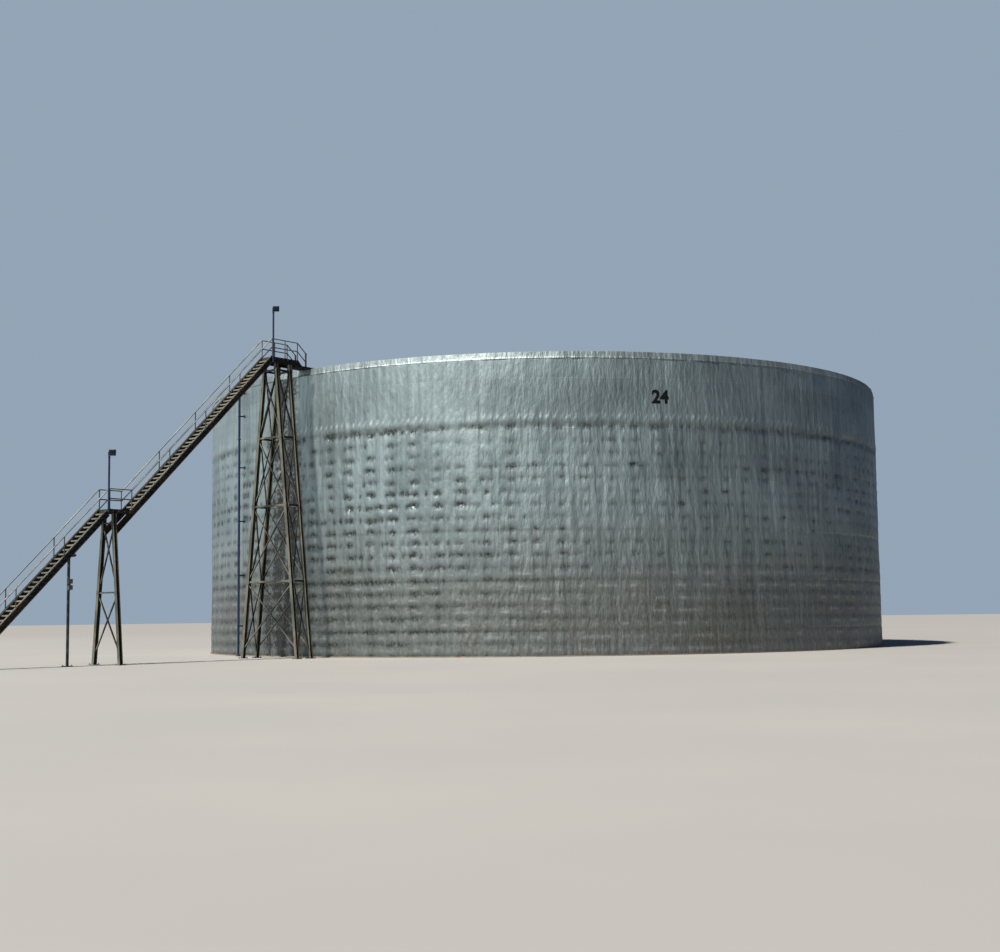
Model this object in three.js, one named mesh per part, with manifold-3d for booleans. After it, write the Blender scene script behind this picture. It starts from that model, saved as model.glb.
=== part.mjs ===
// A large insulated storage tank with a free-standing access stair, as a scale model at 1:2.
// Millimetres, +Z up. The origin is the middle of the tank's floor at ground level.
// The stair runs in from -X: it climbs radially towards the tank and ends over its rim.
import * as THREE from "three";
import { mergeVertices } from "three/addons/utils/BufferGeometryUtils.js";
import Module from "manifold-3d";

const wasm = await Module();
wasm.setup();

const MODEL_SCALE = 0.5;
const MM_PER_METRE = 1000;

/** Model millimetres for a length in metres on the real tank. */
const real = (metres) => metres * MM_PER_METRE * MODEL_SCALE;

// Left between pieces that rest on each other.
const CLEARANCE = 0.3;

// Tank
const TANK_RADIUS = real(20);
const TANK_SIDES = 120;
const WALL_THICKNESS = real(0.12);
const WALL_TOP = real(14.4);
const WALL_SEGMENTS = 8;
const FLOOR_RADIUS = real(20.06);
const FLOOR_THICKNESS = real(0.05);
const ROOF_SLOPE = 1 / 16;
const ROOF_THICKNESS = real(0.08);
const ROOF_RADIUS = real(19.96);
const ROOF_SECTORS = 6;
const CROWN_RADIUS = real(1.5);
const CROWN_RISE = real(0.05);
const RIM_TOP = real(14.735);
const RIM_LEAN = real(0.06);
const RIM_INNER_RADIUS = real(19.6);
const RIM_SEGMENTS = 4;

// Stair: every point on it is given by its distance from the tank's axis, its place across, and its height.
const RISE = real(0.2033);
const GOING = real(0.209);
const STAIR_FOOT = real(39.256);
const LOWER_RISERS = 34;
const LANDING_LENGTH = real(1.24);
const UPPER_RISERS = 40;
const PLATFORM_LENGTH = real(1.75);
const TREAD_THICKNESS = real(0.06);
const TREAD_NOSING = real(0.02);
const STRINGER_WEB = real(0.02);
const STRINGER_INNER = real(0.335);
const STRINGER_OUTER = real(0.435);
const STRINGER_ABOVE_NOSING = real(0.05);
const STRINGER_BELOW_NOSING = real(0.22);

// Landing and top platform
const DECK_THICKNESS = real(0.03);
const LANDING_BEAM_DEPTH = real(0.17);
const PLATFORM_BEAM_DEPTH = real(0.3);
const CHANNEL_FLANGE = real(0.02);

// Handrails
const RAIL_RADIUS = real(0.026);
const RAIL_SIDES = 6;
const RAIL_HEIGHT = real(0.91);
const MID_RAIL_HEIGHT = real(0.47);
const RAIL_OFFSET = real(0.385);
const RAIL_END_INSET = real(0.03);
const LOWER_RAIL_BAYS = 3;
const UPPER_RAIL_BAYS = 4;

// Supports
const COLUMN_WIDTH = real(0.17);
const COLUMN_THICKNESS = real(0.02);
const BRACE_WIDTH = real(0.055);
const TIE_WIDTH = real(0.09);
const TRESTLE_TIE_WIDTH = real(0.07);
const BRACE_INSET = real(0.12);
const BASE_PLATE_WIDTH = real(0.36);
const BASE_PLATE_THICKNESS = real(0.03);
const TRESTLE_DISTANCE = real(31.87);
const TRESTLE_FOOT_SPREAD = real(0.965);
const TRESTLE_NECK_SPREAD = real(0.373);
const TRESTLE_NECK_HEIGHT = real(6.3);
const TRESTLE_TIE_HEIGHT = real(3.2);
const POST_DISTANCE = real(33.93);
const POST_RADIUS = real(0.065);
const POST_SIDES = 12;
const CROSSHEAD_WIDTH = real(0.1);
const CROSSHEAD_LENGTH = real(0.94);
const TOWER_OUTER_DISTANCE = real(22.3);
const TOWER_INNER_DISTANCE = real(21.4);
const TOWER_FOOT_SPREAD = real(1.98);
const TOWER_HEAD_SPREAD = real(0.44);
const TOWER_HEAD_HEIGHT = real(14.4);
const TOWER_TIE_HEIGHTS = [real(3.8), real(7.57), real(11), real(14.4)];

// Steps from the platform over the rim
const BRIDGE_HEIGHT = real(14.8);
const BRIDGE_START = real(20.55);
const BRIDGE_END = real(19.57);
const ROOF_STEP_HEIGHT = real(14.66);
const ROOF_STEP_END = real(19.3);
const EXIT_RAIL_DROP = real(0.47);
const EXIT_RAIL_END = real(20.25);
const EXIT_POST_WIDTH = real(0.09);

// Fittings
const LIGHT_POLE_RADIUS = real(0.045);
const LIGHT_POLE_OFFSET = real(0.485);
const MID_POLE_HEIGHT = real(2.36);
const TOP_POLE_HEIGHT = real(2.27);
const LIGHT_POLE_CLAMP = [real(0.22), real(0.08)];
const MID_POLE_LEAD = real(0.1);
const LAMP_WIDTH = real(0.33);
const LAMP_HEIGHT = real(0.26);
const LAMP_DEPTH = real(0.18);
const LAMP_OVERHANG = real(0.05);
const LAMP_STRAP = real(0.03);
const LAMP_TURN = THREE.MathUtils.degToRad(-52);
const RISER_ANGLE = THREE.MathUtils.degToRad(164);
const RISER_RADIUS = real(0.065);
const RISER_STANDOFF = real(0.3);
const RISER_TOP = real(14.1);
const RISER_FLANGE_RADIUS = real(0.13);
const RISER_FLANGE_THICKNESS = real(0.04);
const BRACKET_HEIGHTS = [1.6, 4.3, 7.2, 10.1, 12.9].map(real);
const BRACKET_WIDTH = real(0.07);
const SWITCH_BOX_HEIGHTS = [real(3.41), real(3.68)];
const SWITCH_BOX_SIZE = [real(0.2), real(0.12), real(0.2)];
const SWITCH_PLATE_THICKNESS = real(0.02);

// Finishes
const finish = (color, roughness, metalness) =>
  new THREE.MeshStandardMaterial({ color, roughness, metalness });
const jacketing = finish("#a4acae", 0.38, 0.85);
const roofSheet = finish("#b3b8b8", 0.45, 0.8);
const floorPlate = finish("#6f6a62", 0.7, 0.3);
const stairPaint = finish("#8d8371", 0.65, 0.2);
const railPaint = finish("#9c7f5c", 0.6, 0.2);
const navyEnamel = finish("#1d3557", 0.4, 0.1);
const lampHousing = finish("#2a3440", 0.45, 0.4);
const boxEnamel = finish("#5b5f5c", 0.5, 0.2);

// Heights and distances that follow from the sizes above
const LANDING_START = STAIR_FOOT - LOWER_RISERS * GOING;
const LANDING_END = LANDING_START - LANDING_LENGTH;
const LANDING_HEIGHT = LOWER_RISERS * RISE;
const PLATFORM_START = LANDING_END - UPPER_RISERS * GOING;
const PLATFORM_END = PLATFORM_START - PLATFORM_LENGTH;
const PLATFORM_HEIGHT = LANDING_HEIGHT + UPPER_RISERS * RISE;
const PITCH = RISE / GOING;
const PITCH_COSINE = Math.cos(Math.atan(PITCH));
const TOWER_TAPER = (TOWER_FOOT_SPREAD - TOWER_HEAD_SPREAD) / TOWER_HEAD_HEIGHT;
const ROOF_EDGE_HEIGHT = WALL_TOP + CLEARANCE;

const UP = new THREE.Vector3(0, 0, 1);
const ALONG_STAIR = new THREE.Vector3(1, 0, 0);
const ACROSS_STAIR = new THREE.Vector3(0, 1, 0);

/** A point of the stair, from its distance to the tank's axis, its place across and its height. */
const stairPoint = (distance, across, height) =>
  new THREE.Vector3(-distance, across, height);

// Solids

/** The closed solid that a geometry bounds. */
function solidOf(geometry) {
  const bare = geometry.clone();
  bare.deleteAttribute("normal");
  bare.deleteAttribute("uv");
  const merged = mergeVertices(bare, 1e-3);
  return new wasm.Manifold(
    new wasm.Mesh({
      numProp: 3,
      vertProperties: merged.attributes.position.array,
      triVerts: new Uint32Array(merged.index.array),
    }),
  );
}

/** The geometry of a solid, with flat faces. */
function geometryOf(solid) {
  const mesh = solid.getMesh();
  const geometry = new THREE.BufferGeometry();
  geometry.setAttribute(
    "position",
    new THREE.BufferAttribute(mesh.vertProperties, mesh.numProp),
  );
  geometry.setIndex(new THREE.BufferAttribute(mesh.triVerts, 1));
  return geometry;
}

/** All the geometries joined into one solid. */
const join = (geometries) =>
  geometries.map(solidOf).reduce((whole, piece) => whole.add(piece));

/** A named mesh from a geometry or a solid. */
function piece(name, shape, material) {
  const geometry = shape.isBufferGeometry ? shape : geometryOf(shape);
  const mesh = new THREE.Mesh(geometry, material);
  mesh.name = name;
  return mesh;
}

// Sections

/** A closed outline from its corner points. */
const outline = (points) =>
  new THREE.Shape(points.map(([x, y]) => new THREE.Vector2(x, y)));

/** A rectangle about the middle of the section. */
function rectangle(width, height) {
  const [x, y] = [width / 2, height / 2];
  return outline([
    [-x, -y],
    [x, -y],
    [x, y],
    [-x, y],
  ]);
}

/** A regular outline that stands for a round bar or tube. */
function round(radius, sides) {
  const corner = (index) => {
    const angle = ((index + 0.5) * 2 * Math.PI) / sides;
    return [radius * Math.cos(angle), radius * Math.sin(angle)];
  };
  return outline(Array.from({ length: sides }, (_, index) => corner(index)));
}

/** An H section whose flanges lie across the outline's y direction. */
function columnSection(width, thickness) {
  const [edge, web] = [width / 2, thickness / 2];
  const inner = edge - thickness;
  return outline([
    [-edge, -edge],
    [edge, -edge],
    [edge, -inner],
    [web, -inner],
    [web, inner],
    [edge, inner],
    [edge, edge],
    [-edge, edge],
    [-edge, inner],
    [-web, inner],
    [-web, -inner],
    [-edge, -inner],
  ]);
}

/** A straight member of one section from start to end; up is the section's y direction. */
function member(section, start, end, up) {
  const along = end.clone().sub(start);
  const geometry = new THREE.ExtrudeGeometry(section, {
    depth: along.length(),
    bevelEnabled: false,
  });
  along.normalize();
  const side = up.clone().cross(along).normalize();
  const frame = new THREE.Matrix4().makeBasis(
    side,
    along.clone().cross(side),
    along,
  );
  return geometry.applyMatrix4(frame.setPosition(start));
}

/** A plate seen in side view of the stair: [distance, height] corners, from one place across to another. */
function sidePlate(corners, acrossLow, acrossHigh) {
  const shape = outline(
    corners.map(([distance, height]) => [-distance, height]),
  );
  const geometry = new THREE.ExtrudeGeometry(shape, {
    depth: acrossHigh - acrossLow,
    bevelEnabled: false,
  });
  const frame = new THREE.Matrix4().makeBasis(
    ALONG_STAIR,
    UP,
    ACROSS_STAIR.clone().negate(),
  );
  return geometry.applyMatrix4(frame.setPosition(0, acrossHigh, 0));
}

/** A block between two distances, two places across and two heights. */
const block = (distances, across, heights) =>
  sidePlate(
    [
      [distances[0], heights[0]],
      [distances[1], heights[0]],
      [distances[1], heights[1]],
      [distances[0], heights[1]],
    ],
    across[0],
    across[1],
  );

/** A round bar between two points. */
const bar = (radius, sides, start, end) =>
  member(round(radius, sides), start, end, ACROSS_STAIR);

// Tank

/** A closed profile of [radius, height] points turned round the tank's axis. */
function turned(profile) {
  const points = profile.map(([radius, height]) =>
    new THREE.Vector2(radius, height),
  );
  return new THREE.LatheGeometry(points, TANK_SIDES).rotateX(Math.PI / 2);
}

/** The part of a turned ring between two joints of an even division, short of each joint by half a gap. */
function ringSegment(ring, index, count) {
  const step = (2 * Math.PI) / count;
  const middle = (index + 0.5) * step;
  const reach = 2 * TANK_RADIUS;
  const tip = CLEARANCE / 2 / Math.sin(step / 2);
  const corner = (angle) => [reach * Math.cos(angle), reach * Math.sin(angle)];
  const wedge = new THREE.ExtrudeGeometry(
    outline([[0, 0], corner(-step / 2), [reach, 0], corner(step / 2)]),
    { depth: 2 * RIM_TOP, bevelEnabled: false },
  );
  wedge.translate(tip, 0, -RIM_TOP / 2).rotateZ(middle);
  return ring.intersect(solidOf(wedge));
}

/** Distance from the tank's axis to the wall's flat face at an angle. */
function wallFace(angle) {
  const step = (2 * Math.PI) / TANK_SIDES;
  const fromMiddle = (angle % step) - step / 2;
  return (TANK_RADIUS * Math.cos(step / 2)) / Math.cos(fromMiddle);
}

/** Height of the roof's underside at a radius. */
const roofUnderside = (radius) =>
  ROOF_EDGE_HEIGHT + (ROOF_RADIUS - radius) * ROOF_SLOPE;

/** Height of the roof's top at a radius. */
const roofTop = (radius) => roofUnderside(radius) + ROOF_THICKNESS;

/** The floor, a flat round plate that reaches a little past the wall. */
function tankFloor() {
  const profile = [
    [0, 0],
    [FLOOR_RADIUS, 0],
    [FLOOR_RADIUS, FLOOR_THICKNESS],
    [0, FLOOR_THICKNESS],
  ];
  return piece("tank_floor", solidOf(turned(profile)), floorPlate);
}

/** The wall, an upright shell in equal segments. */
function tankWall() {
  const group = new THREE.Group();
  const inner = TANK_RADIUS - WALL_THICKNESS;
  const foot = FLOOR_THICKNESS + CLEARANCE;
  const ring = solidOf(
    turned([
      [inner, foot],
      [TANK_RADIUS, foot],
      [TANK_RADIUS, WALL_TOP],
      [inner, WALL_TOP],
      [inner, foot],
    ]),
  );
  for (let index = 0; index < WALL_SEGMENTS; index++) {
    const segment = ringSegment(ring, index, WALL_SEGMENTS);
    group.add(piece(`wall_segment_${index + 1}`, segment, jacketing));
  }
  return group;
}

/** The roof, a low cone in sectors round a crown plate. */
function tankRoof() {
  const group = new THREE.Group();
  const inner = CROWN_RADIUS + CLEARANCE;
  const ring = solidOf(
    turned([
      [inner, roofUnderside(inner)],
      [ROOF_RADIUS, roofUnderside(ROOF_RADIUS)],
      [ROOF_RADIUS, roofTop(ROOF_RADIUS)],
      [inner, roofTop(inner)],
      [inner, roofUnderside(inner)],
    ]),
  );
  for (let index = 0; index < ROOF_SECTORS; index++) {
    const sector = ringSegment(ring, index, ROOF_SECTORS);
    group.add(piece(`roof_sector_${index + 1}`, sector, roofSheet));
  }
  const crown = turned([
    [0, roofUnderside(CROWN_RADIUS)],
    [CROWN_RADIUS, roofUnderside(CROWN_RADIUS)],
    [CROWN_RADIUS, roofTop(CROWN_RADIUS)],
    [0, roofTop(CROWN_RADIUS) + CROWN_RISE],
  ]);
  group.add(piece("roof_crown", solidOf(crown), roofSheet));
  return group;
}

/** The rim flashing, a folded curb that leans inwards over the roof's edge, in segments. */
function rimFlashing() {
  const group = new THREE.Group();
  const lip = ROOF_RADIUS + CLEARANCE;
  const foot = WALL_TOP + CLEARANCE;
  const ring = solidOf(
    turned([
      [lip, foot],
      [TANK_RADIUS, foot],
      [TANK_RADIUS - RIM_LEAN, RIM_TOP],
      [RIM_INNER_RADIUS, RIM_TOP],
      [RIM_INNER_RADIUS, roofTop(RIM_INNER_RADIUS) + CLEARANCE],
      [lip, roofTop(lip) + CLEARANCE],
      [lip, foot],
    ]),
  );
  for (let index = 0; index < RIM_SEGMENTS; index++) {
    const segment = ringSegment(ring, index, RIM_SEGMENTS);
    group.add(piece(`rim_flashing_${index + 1}`, segment, jacketing));
  }
  return group;
}

// Stair

/** A line of step nosings through a foot point, with the stair's pitch. */
const nosingLine = (footDistance, footHeight) => (distance) =>
  footHeight + (footDistance - distance) * PITCH;

const lowerLine = nosingLine(STAIR_FOOT, 0);
const upperLine = nosingLine(LANDING_END, LANDING_HEIGHT);
const STRINGER_TOP = STRINGER_ABOVE_NOSING / PITCH_COSINE;
const STRINGER_BOTTOM = -STRINGER_BELOW_NOSING / PITCH_COSINE;
const FLANGE_HEIGHT = CHANNEL_FLANGE / PITCH_COSINE;

/** A plate that follows a nosing line between two distances, cut plumb at both ends. */
const slopedPlate = (line, distances, heights, across) =>
  sidePlate(
    [
      [distances[0], line(distances[0]) + heights[0]],
      [distances[1], line(distances[1]) + heights[0]],
      [distances[1], line(distances[1]) + heights[1]],
      [distances[0], line(distances[0]) + heights[1]],
    ],
    across[0],
    across[1],
  );

/** Both places across of something on one side of the stair, low before high. */
const onSide = (side, inner, outer) =>
  side > 0 ? [inner, outer] : [-outer, -inner];

/** One stringer, a channel whose flanges point away from the steps. */
function stringer(line, distances, side) {
  const full = onSide(side, STRINGER_INNER, STRINGER_OUTER);
  const web = onSide(side, STRINGER_INNER, STRINGER_INNER + STRINGER_WEB);
  const top = [STRINGER_TOP - FLANGE_HEIGHT, STRINGER_TOP];
  const bottom = [STRINGER_BOTTOM, STRINGER_BOTTOM + FLANGE_HEIGHT];
  return [
    slopedPlate(line, distances, [STRINGER_BOTTOM, STRINGER_TOP], web),
    slopedPlate(line, distances, top, full),
    slopedPlate(line, distances, bottom, full),
  ];
}

/** The treads of a flight, from its foot to the step below its last riser. */
function treads(footDistance, footHeight, risers) {
  const reach = STRINGER_INNER + STRINGER_WEB / 2;
  return Array.from({ length: risers - 1 }, (_, index) => {
    const nosing = footDistance - (index + 1) * GOING;
    const top = footHeight + (index + 1) * RISE;
    return block(
      [nosing, nosing - GOING - TREAD_NOSING],
      [-reach, reach],
      [top - TREAD_THICKNESS, top],
    );
  });
}

/** The lower flight, cut level where it stands on the ground. */
function lowerFlight() {
  const ends = [STAIR_FOOT, LANDING_START + CLEARANCE];
  const flight = join([
    ...treads(STAIR_FOOT, 0, LOWER_RISERS),
    ...stringer(lowerLine, ends, 1),
    ...stringer(lowerLine, ends, -1),
  ]);
  const aboveGround = block(
    [STAIR_FOOT + GOING, LANDING_START - GOING],
    [-TANK_RADIUS, TANK_RADIUS],
    [0, WALL_TOP],
  );
  const trimmed = flight.intersect(solidOf(aboveGround));
  return piece("lower_flight", trimmed, stairPaint);
}

const UPPER_STRINGER_HEAD = PLATFORM_START + CLEARANCE;

/** The upper flight, from the landing's edge to the platform. */
function upperFlight() {
  const ends = [LANDING_END - CLEARANCE, UPPER_STRINGER_HEAD];
  const flight = join([
    ...treads(LANDING_END, LANDING_HEIGHT, UPPER_RISERS),
    ...stringer(upperLine, ends, 1),
    ...stringer(upperLine, ends, -1),
  ]);
  const betweenDecks = block(ends, [-TANK_RADIUS, TANK_RADIUS], [0, 2 * RIM_TOP]);
  const trimmed = flight.intersect(solidOf(betweenDecks));
  return piece("upper_flight", trimmed, stairPaint);
}

/** Two channel beams with a deck between them and a cross beam near each end. */
function deckFrame(distances, height, beamDepth) {
  const under = height - beamDepth;
  const parts = [
    block(
      distances,
      [-STRINGER_OUTER, STRINGER_OUTER],
      [height - DECK_THICKNESS, height],
    ),
  ];
  for (const side of [-1, 1]) {
    const web = onSide(side, STRINGER_OUTER - STRINGER_WEB, STRINGER_OUTER);
    const flange = onSide(side, STRINGER_INNER, STRINGER_OUTER);
    parts.push(block(distances, web, [under, height]));
    parts.push(block(distances, flange, [height - CHANNEL_FLANGE, height]));
    parts.push(block(distances, flange, [under, under + CHANNEL_FLANGE]));
  }
  const inset = STRINGER_INNER + STRINGER_WEB / 2;
  for (const [end, inward] of [
    [distances[0], -STRINGER_WEB],
    [distances[1], STRINGER_WEB],
  ]) {
    parts.push(block([end, end + inward], [-inset, inset], [under, height]));
  }
  return join(parts);
}

/** The landing between the flights, with the feet of the upper flight's stringers under it. */
function midLanding() {
  const frame = deckFrame(
    [LANDING_START, LANDING_END],
    LANDING_HEIGHT,
    LANDING_BEAM_DEPTH,
  );
  const foot = TRESTLE_DISTANCE - COLUMN_WIDTH / 2 - CLEARANCE;
  const feet = join([
    ...stringer(upperLine, [foot, LANDING_END], 1),
    ...stringer(upperLine, [foot, LANDING_END], -1),
  ]);
  const underDeck = block(
    [foot, LANDING_END],
    [-TANK_RADIUS, TANK_RADIUS],
    [0, LANDING_HEIGHT],
  );
  const landing = frame.add(feet.intersect(solidOf(underDeck)));
  return piece("mid_landing", landing, stairPaint);
}

/** The platform at the stair's head. */
function topPlatform() {
  const frame = deckFrame(
    [PLATFORM_START, PLATFORM_END],
    PLATFORM_HEIGHT,
    PLATFORM_BEAM_DEPTH,
  );
  return piece("top_platform", frame, stairPaint);
}

/** The short way from the platform over the rim and down to the roof. */
function roofSteps() {
  const start = PLATFORM_END - CLEARANCE;
  const overRim = RIM_TOP + CLEARANCE;
  const roofFoot = roofTop(ROOF_STEP_END) + CLEARANCE;
  const inside = RIM_INNER_RADIUS - STRINGER_WEB;
  const profile = [
    [start, PLATFORM_HEIGHT],
    [start, overRim],
    [inside, overRim],
    [inside, roofFoot],
    [ROOF_STEP_END, roofFoot],
    [ROOF_STEP_END, ROOF_STEP_HEIGHT],
    [BRIDGE_END, BRIDGE_HEIGHT],
    [BRIDGE_START, BRIDGE_HEIGHT],
  ];
  const inset = STRINGER_OUTER - STRINGER_WEB / 2;
  const parts = [
    block(
      [start, BRIDGE_END],
      [-inset, inset],
      [BRIDGE_HEIGHT - TREAD_THICKNESS, BRIDGE_HEIGHT],
    ),
    block(
      [BRIDGE_END, ROOF_STEP_END],
      [-inset, inset],
      [ROOF_STEP_HEIGHT - TREAD_THICKNESS, ROOF_STEP_HEIGHT],
    ),
  ];
  for (const side of [-1, 1]) {
    const web = onSide(side, STRINGER_OUTER - STRINGER_WEB, STRINGER_OUTER);
    parts.push(sidePlate(profile, ...web));
  }
  return piece("roof_steps", join(parts), stairPaint);
}

// Handrails

/** Rails at both rail heights through the same points of the floor line. */
function railLines(points, across) {
  const lines = [];
  for (const height of [RAIL_HEIGHT, MID_RAIL_HEIGHT]) {
    for (let index = 1; index < points.length; index++) {
      const [from, to] = [points[index - 1], points[index]];
      lines.push(
        bar(
          RAIL_RADIUS,
          RAIL_SIDES,
          stairPoint(from[0], across, from[1] + height),
          stairPoint(to[0], across, to[1] + height),
        ),
      );
    }
  }
  return lines;
}

/** An upright post of a handrail. */
const railPost = (distance, across, foot, top) =>
  bar(
    RAIL_RADIUS,
    RAIL_SIDES,
    stairPoint(distance, across, foot),
    stairPoint(distance, across, top),
  );

/** One flight's handrail on one side, between the corner posts of the decks or a post of its own at the foot. */
function flightRail(name, line, distances, bays, ownFoot, side) {
  const across = side * RAIL_OFFSET;
  const ends = distances.map((distance) => [distance, line(distance)]);
  const parts = railLines(ends, across);
  const step = (distances[1] - distances[0]) / bays;
  for (let index = ownFoot ? 0 : 1; index < bays; index++) {
    const distance = distances[0] + index * step;
    const top = line(distance) + RAIL_HEIGHT;
    parts.push(railPost(distance, across, line(distance) - RISE, top));
  }
  const besidePost = RAIL_RADIUS + CLEARANCE;
  const aboveStringer = slopedPlate(
    line,
    [
      ownFoot ? distances[0] + GOING : distances[0] - besidePost,
      distances[1] + besidePost,
    ],
    [STRINGER_TOP + CLEARANCE, STRINGER_TOP + 2 * RAIL_HEIGHT],
    [-TANK_RADIUS, TANK_RADIUS],
  );
  const rail = join(parts).intersect(solidOf(aboveStringer));
  return piece(name, rail, railPaint);
}

/** A level handrail on one side of a deck, with posts at the given distances. */
function levelRail(floorPoints, postFeet, side) {
  const across = side * RAIL_OFFSET;
  const parts = railLines(floorPoints, across);
  for (const [distance, foot, top] of postFeet) {
    parts.push(railPost(distance, across, foot, top));
  }
  return parts;
}

/** The wide post that ends the platform's handrail over the rim. */
function exitPost(side) {
  const along = [EXIT_RAIL_END + EXIT_POST_WIDTH / 2, EXIT_RAIL_END - EXIT_POST_WIDTH / 2];
  const across = onSide(side, RAIL_OFFSET - RAIL_RADIUS, RAIL_OFFSET + RAIL_RADIUS);
  const top = PLATFORM_HEIGHT - EXIT_RAIL_DROP + RAIL_HEIGHT + RAIL_RADIUS;
  return block(along, across, [BRIDGE_HEIGHT + CLEARANCE, top]);
}

/** Both handrails of the whole stair. */
function handrails() {
  const group = new THREE.Group();
  const onLanding = LANDING_HEIGHT + CLEARANCE;
  const onPlatform = PLATFORM_HEIGHT + CLEARANCE;
  const landingRail = LANDING_HEIGHT + RAIL_HEIGHT;
  const platformRail = PLATFORM_HEIGHT + RAIL_HEIGHT;
  const exitFloor = PLATFORM_HEIGHT - EXIT_RAIL_DROP;
  const landingEnds = [
    LANDING_START - RAIL_END_INSET,
    LANDING_END + RAIL_END_INSET,
  ];
  const platformEnds = [
    PLATFORM_START - RAIL_END_INSET,
    PLATFORM_END + RAIL_END_INSET,
  ];
  const platformMiddle = (platformEnds[0] + platformEnds[1]) / 2;
  const platformFloor = [
    [platformEnds[0], PLATFORM_HEIGHT],
    [platformEnds[1], PLATFORM_HEIGHT],
    [EXIT_RAIL_END, exitFloor],
  ];
  const platformPosts = [platformEnds[0], platformMiddle, platformEnds[1]].map(
    (distance) => [distance, onPlatform, platformRail],
  );
  for (const [name, side] of [
    ["left", 1],
    ["right", -1],
  ]) {
    group.add(
      flightRail(
        `lower_handrail_${name}`,
        lowerLine,
        [STAIR_FOOT - GOING, landingEnds[0]],
        LOWER_RAIL_BAYS,
        true,
        side,
      ),
      piece(
        `landing_handrail_${name}`,
        join(
          levelRail(
            landingEnds.map((distance) => [distance, LANDING_HEIGHT]),
            landingEnds.map((distance) => [distance, onLanding, landingRail]),
            side,
          ),
        ),
        railPaint,
      ),
      flightRail(
        `upper_handrail_${name}`,
        upperLine,
        [landingEnds[1], platformEnds[0]],
        UPPER_RAIL_BAYS,
        false,
        side,
      ),
      piece(
        `platform_handrail_${name}`,
        join([
          ...levelRail(platformFloor, platformPosts, side),
          exitPost(side),
        ]),
        railPaint,
      ),
    );
  }
  return group;
}

// Supports

/** A square base plate on the ground. */
const basePlate = (distance, across) =>
  block(
    [distance + BASE_PLATE_WIDTH / 2, distance - BASE_PLATE_WIDTH / 2],
    [across - BASE_PLATE_WIDTH / 2, across + BASE_PLATE_WIDTH / 2],
    [0, BASE_PLATE_THICKNESS],
  );

/** The two diagonals of a bay, each from one corner to the far one. */
const diagonals = (bottomLeft, bottomRight, topLeft, topRight, up) =>
  [
    [bottomLeft, topRight],
    [bottomRight, topLeft],
  ].map(([start, end]) =>
    member(rectangle(BRACE_WIDTH, BRACE_WIDTH), start, end, up),
  );

/** The trestle that carries the landing: two splayed legs, a tie and crossed braces. */
function landingTrestle() {
  const section = columnSection(COLUMN_WIDTH, COLUMN_THICKNESS);
  const tie = rectangle(TRESTLE_TIE_WIDTH, TRESTLE_TIE_WIDTH);
  const head = LANDING_HEIGHT - LANDING_BEAM_DEPTH - CLEARANCE;
  const spread = (height) =>
    TRESTLE_FOOT_SPREAD +
    ((TRESTLE_NECK_SPREAD - TRESTLE_FOOT_SPREAD) * height) /
      TRESTLE_NECK_HEIGHT;
  const place = (side, height) =>
    stairPoint(TRESTLE_DISTANCE, side * spread(height), height);
  const parts = [];
  for (const side of [-1, 1]) {
    const neck = place(side, TRESTLE_NECK_HEIGHT);
    const top = stairPoint(TRESTLE_DISTANCE, side * TRESTLE_NECK_SPREAD, head);
    parts.push(member(section, place(side, 0), neck, ALONG_STAIR));
    parts.push(member(section, neck, top, ALONG_STAIR));
    parts.push(basePlate(TRESTLE_DISTANCE, side * TRESTLE_FOOT_SPREAD));
  }
  const levels = [BASE_PLATE_WIDTH, TRESTLE_TIE_HEIGHT, TRESTLE_NECK_HEIGHT];
  for (let index = 1; index < levels.length; index++) {
    const [low, high] = [levels[index - 1], levels[index]];
    parts.push(member(tie, place(-1, high), place(1, high), UP));
    parts.push(
      ...diagonals(
        place(-1, low + BRACE_INSET),
        place(1, low + BRACE_INSET),
        place(-1, high - BRACE_INSET),
        place(1, high - BRACE_INSET),
        ALONG_STAIR,
      ),
    );
  }
  const standing = block(
    [LANDING_START + COLUMN_WIDTH, LANDING_END],
    [-TANK_RADIUS, TANK_RADIUS],
    [0, head],
  );
  const trestle = join(parts).intersect(solidOf(standing));
  return piece("landing_trestle", trestle, stairPaint);
}

/** The single post under the lower flight, with its crosshead against both stringers. */
function lowerPost() {
  const seat = lowerLine(POST_DISTANCE) + STRINGER_BOTTOM;
  const drop = (CROSSHEAD_WIDTH / 2 + CLEARANCE) / PITCH_COSINE;
  const middle = seat - drop;
  const uphill = new THREE.Vector3(1, 0, PITCH).normalize();
  const crosshead = member(
    rectangle(CROSSHEAD_WIDTH, CROSSHEAD_WIDTH),
    stairPoint(POST_DISTANCE, -CROSSHEAD_LENGTH / 2, middle),
    stairPoint(POST_DISTANCE, CROSSHEAD_LENGTH / 2, middle),
    uphill,
  );
  const shaft = bar(
    POST_RADIUS,
    POST_SIDES,
    stairPoint(POST_DISTANCE, 0, 0),
    stairPoint(POST_DISTANCE, 0, middle),
  );
  const post = join([crosshead, shaft, basePlate(POST_DISTANCE, 0)]);
  return piece("lower_post", post, navyEnamel);
}

/** Half the tower's width across the stair at a height. */
const towerSpread = (height) => TOWER_FOOT_SPREAD - TOWER_TAPER * height;

const TOWER_TOP = PLATFORM_HEIGHT - PLATFORM_BEAM_DEPTH - CLEARANCE;
const TOWER_LEVELS = [BASE_PLATE_WIDTH, ...TOWER_TIE_HEIGHTS];

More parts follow.
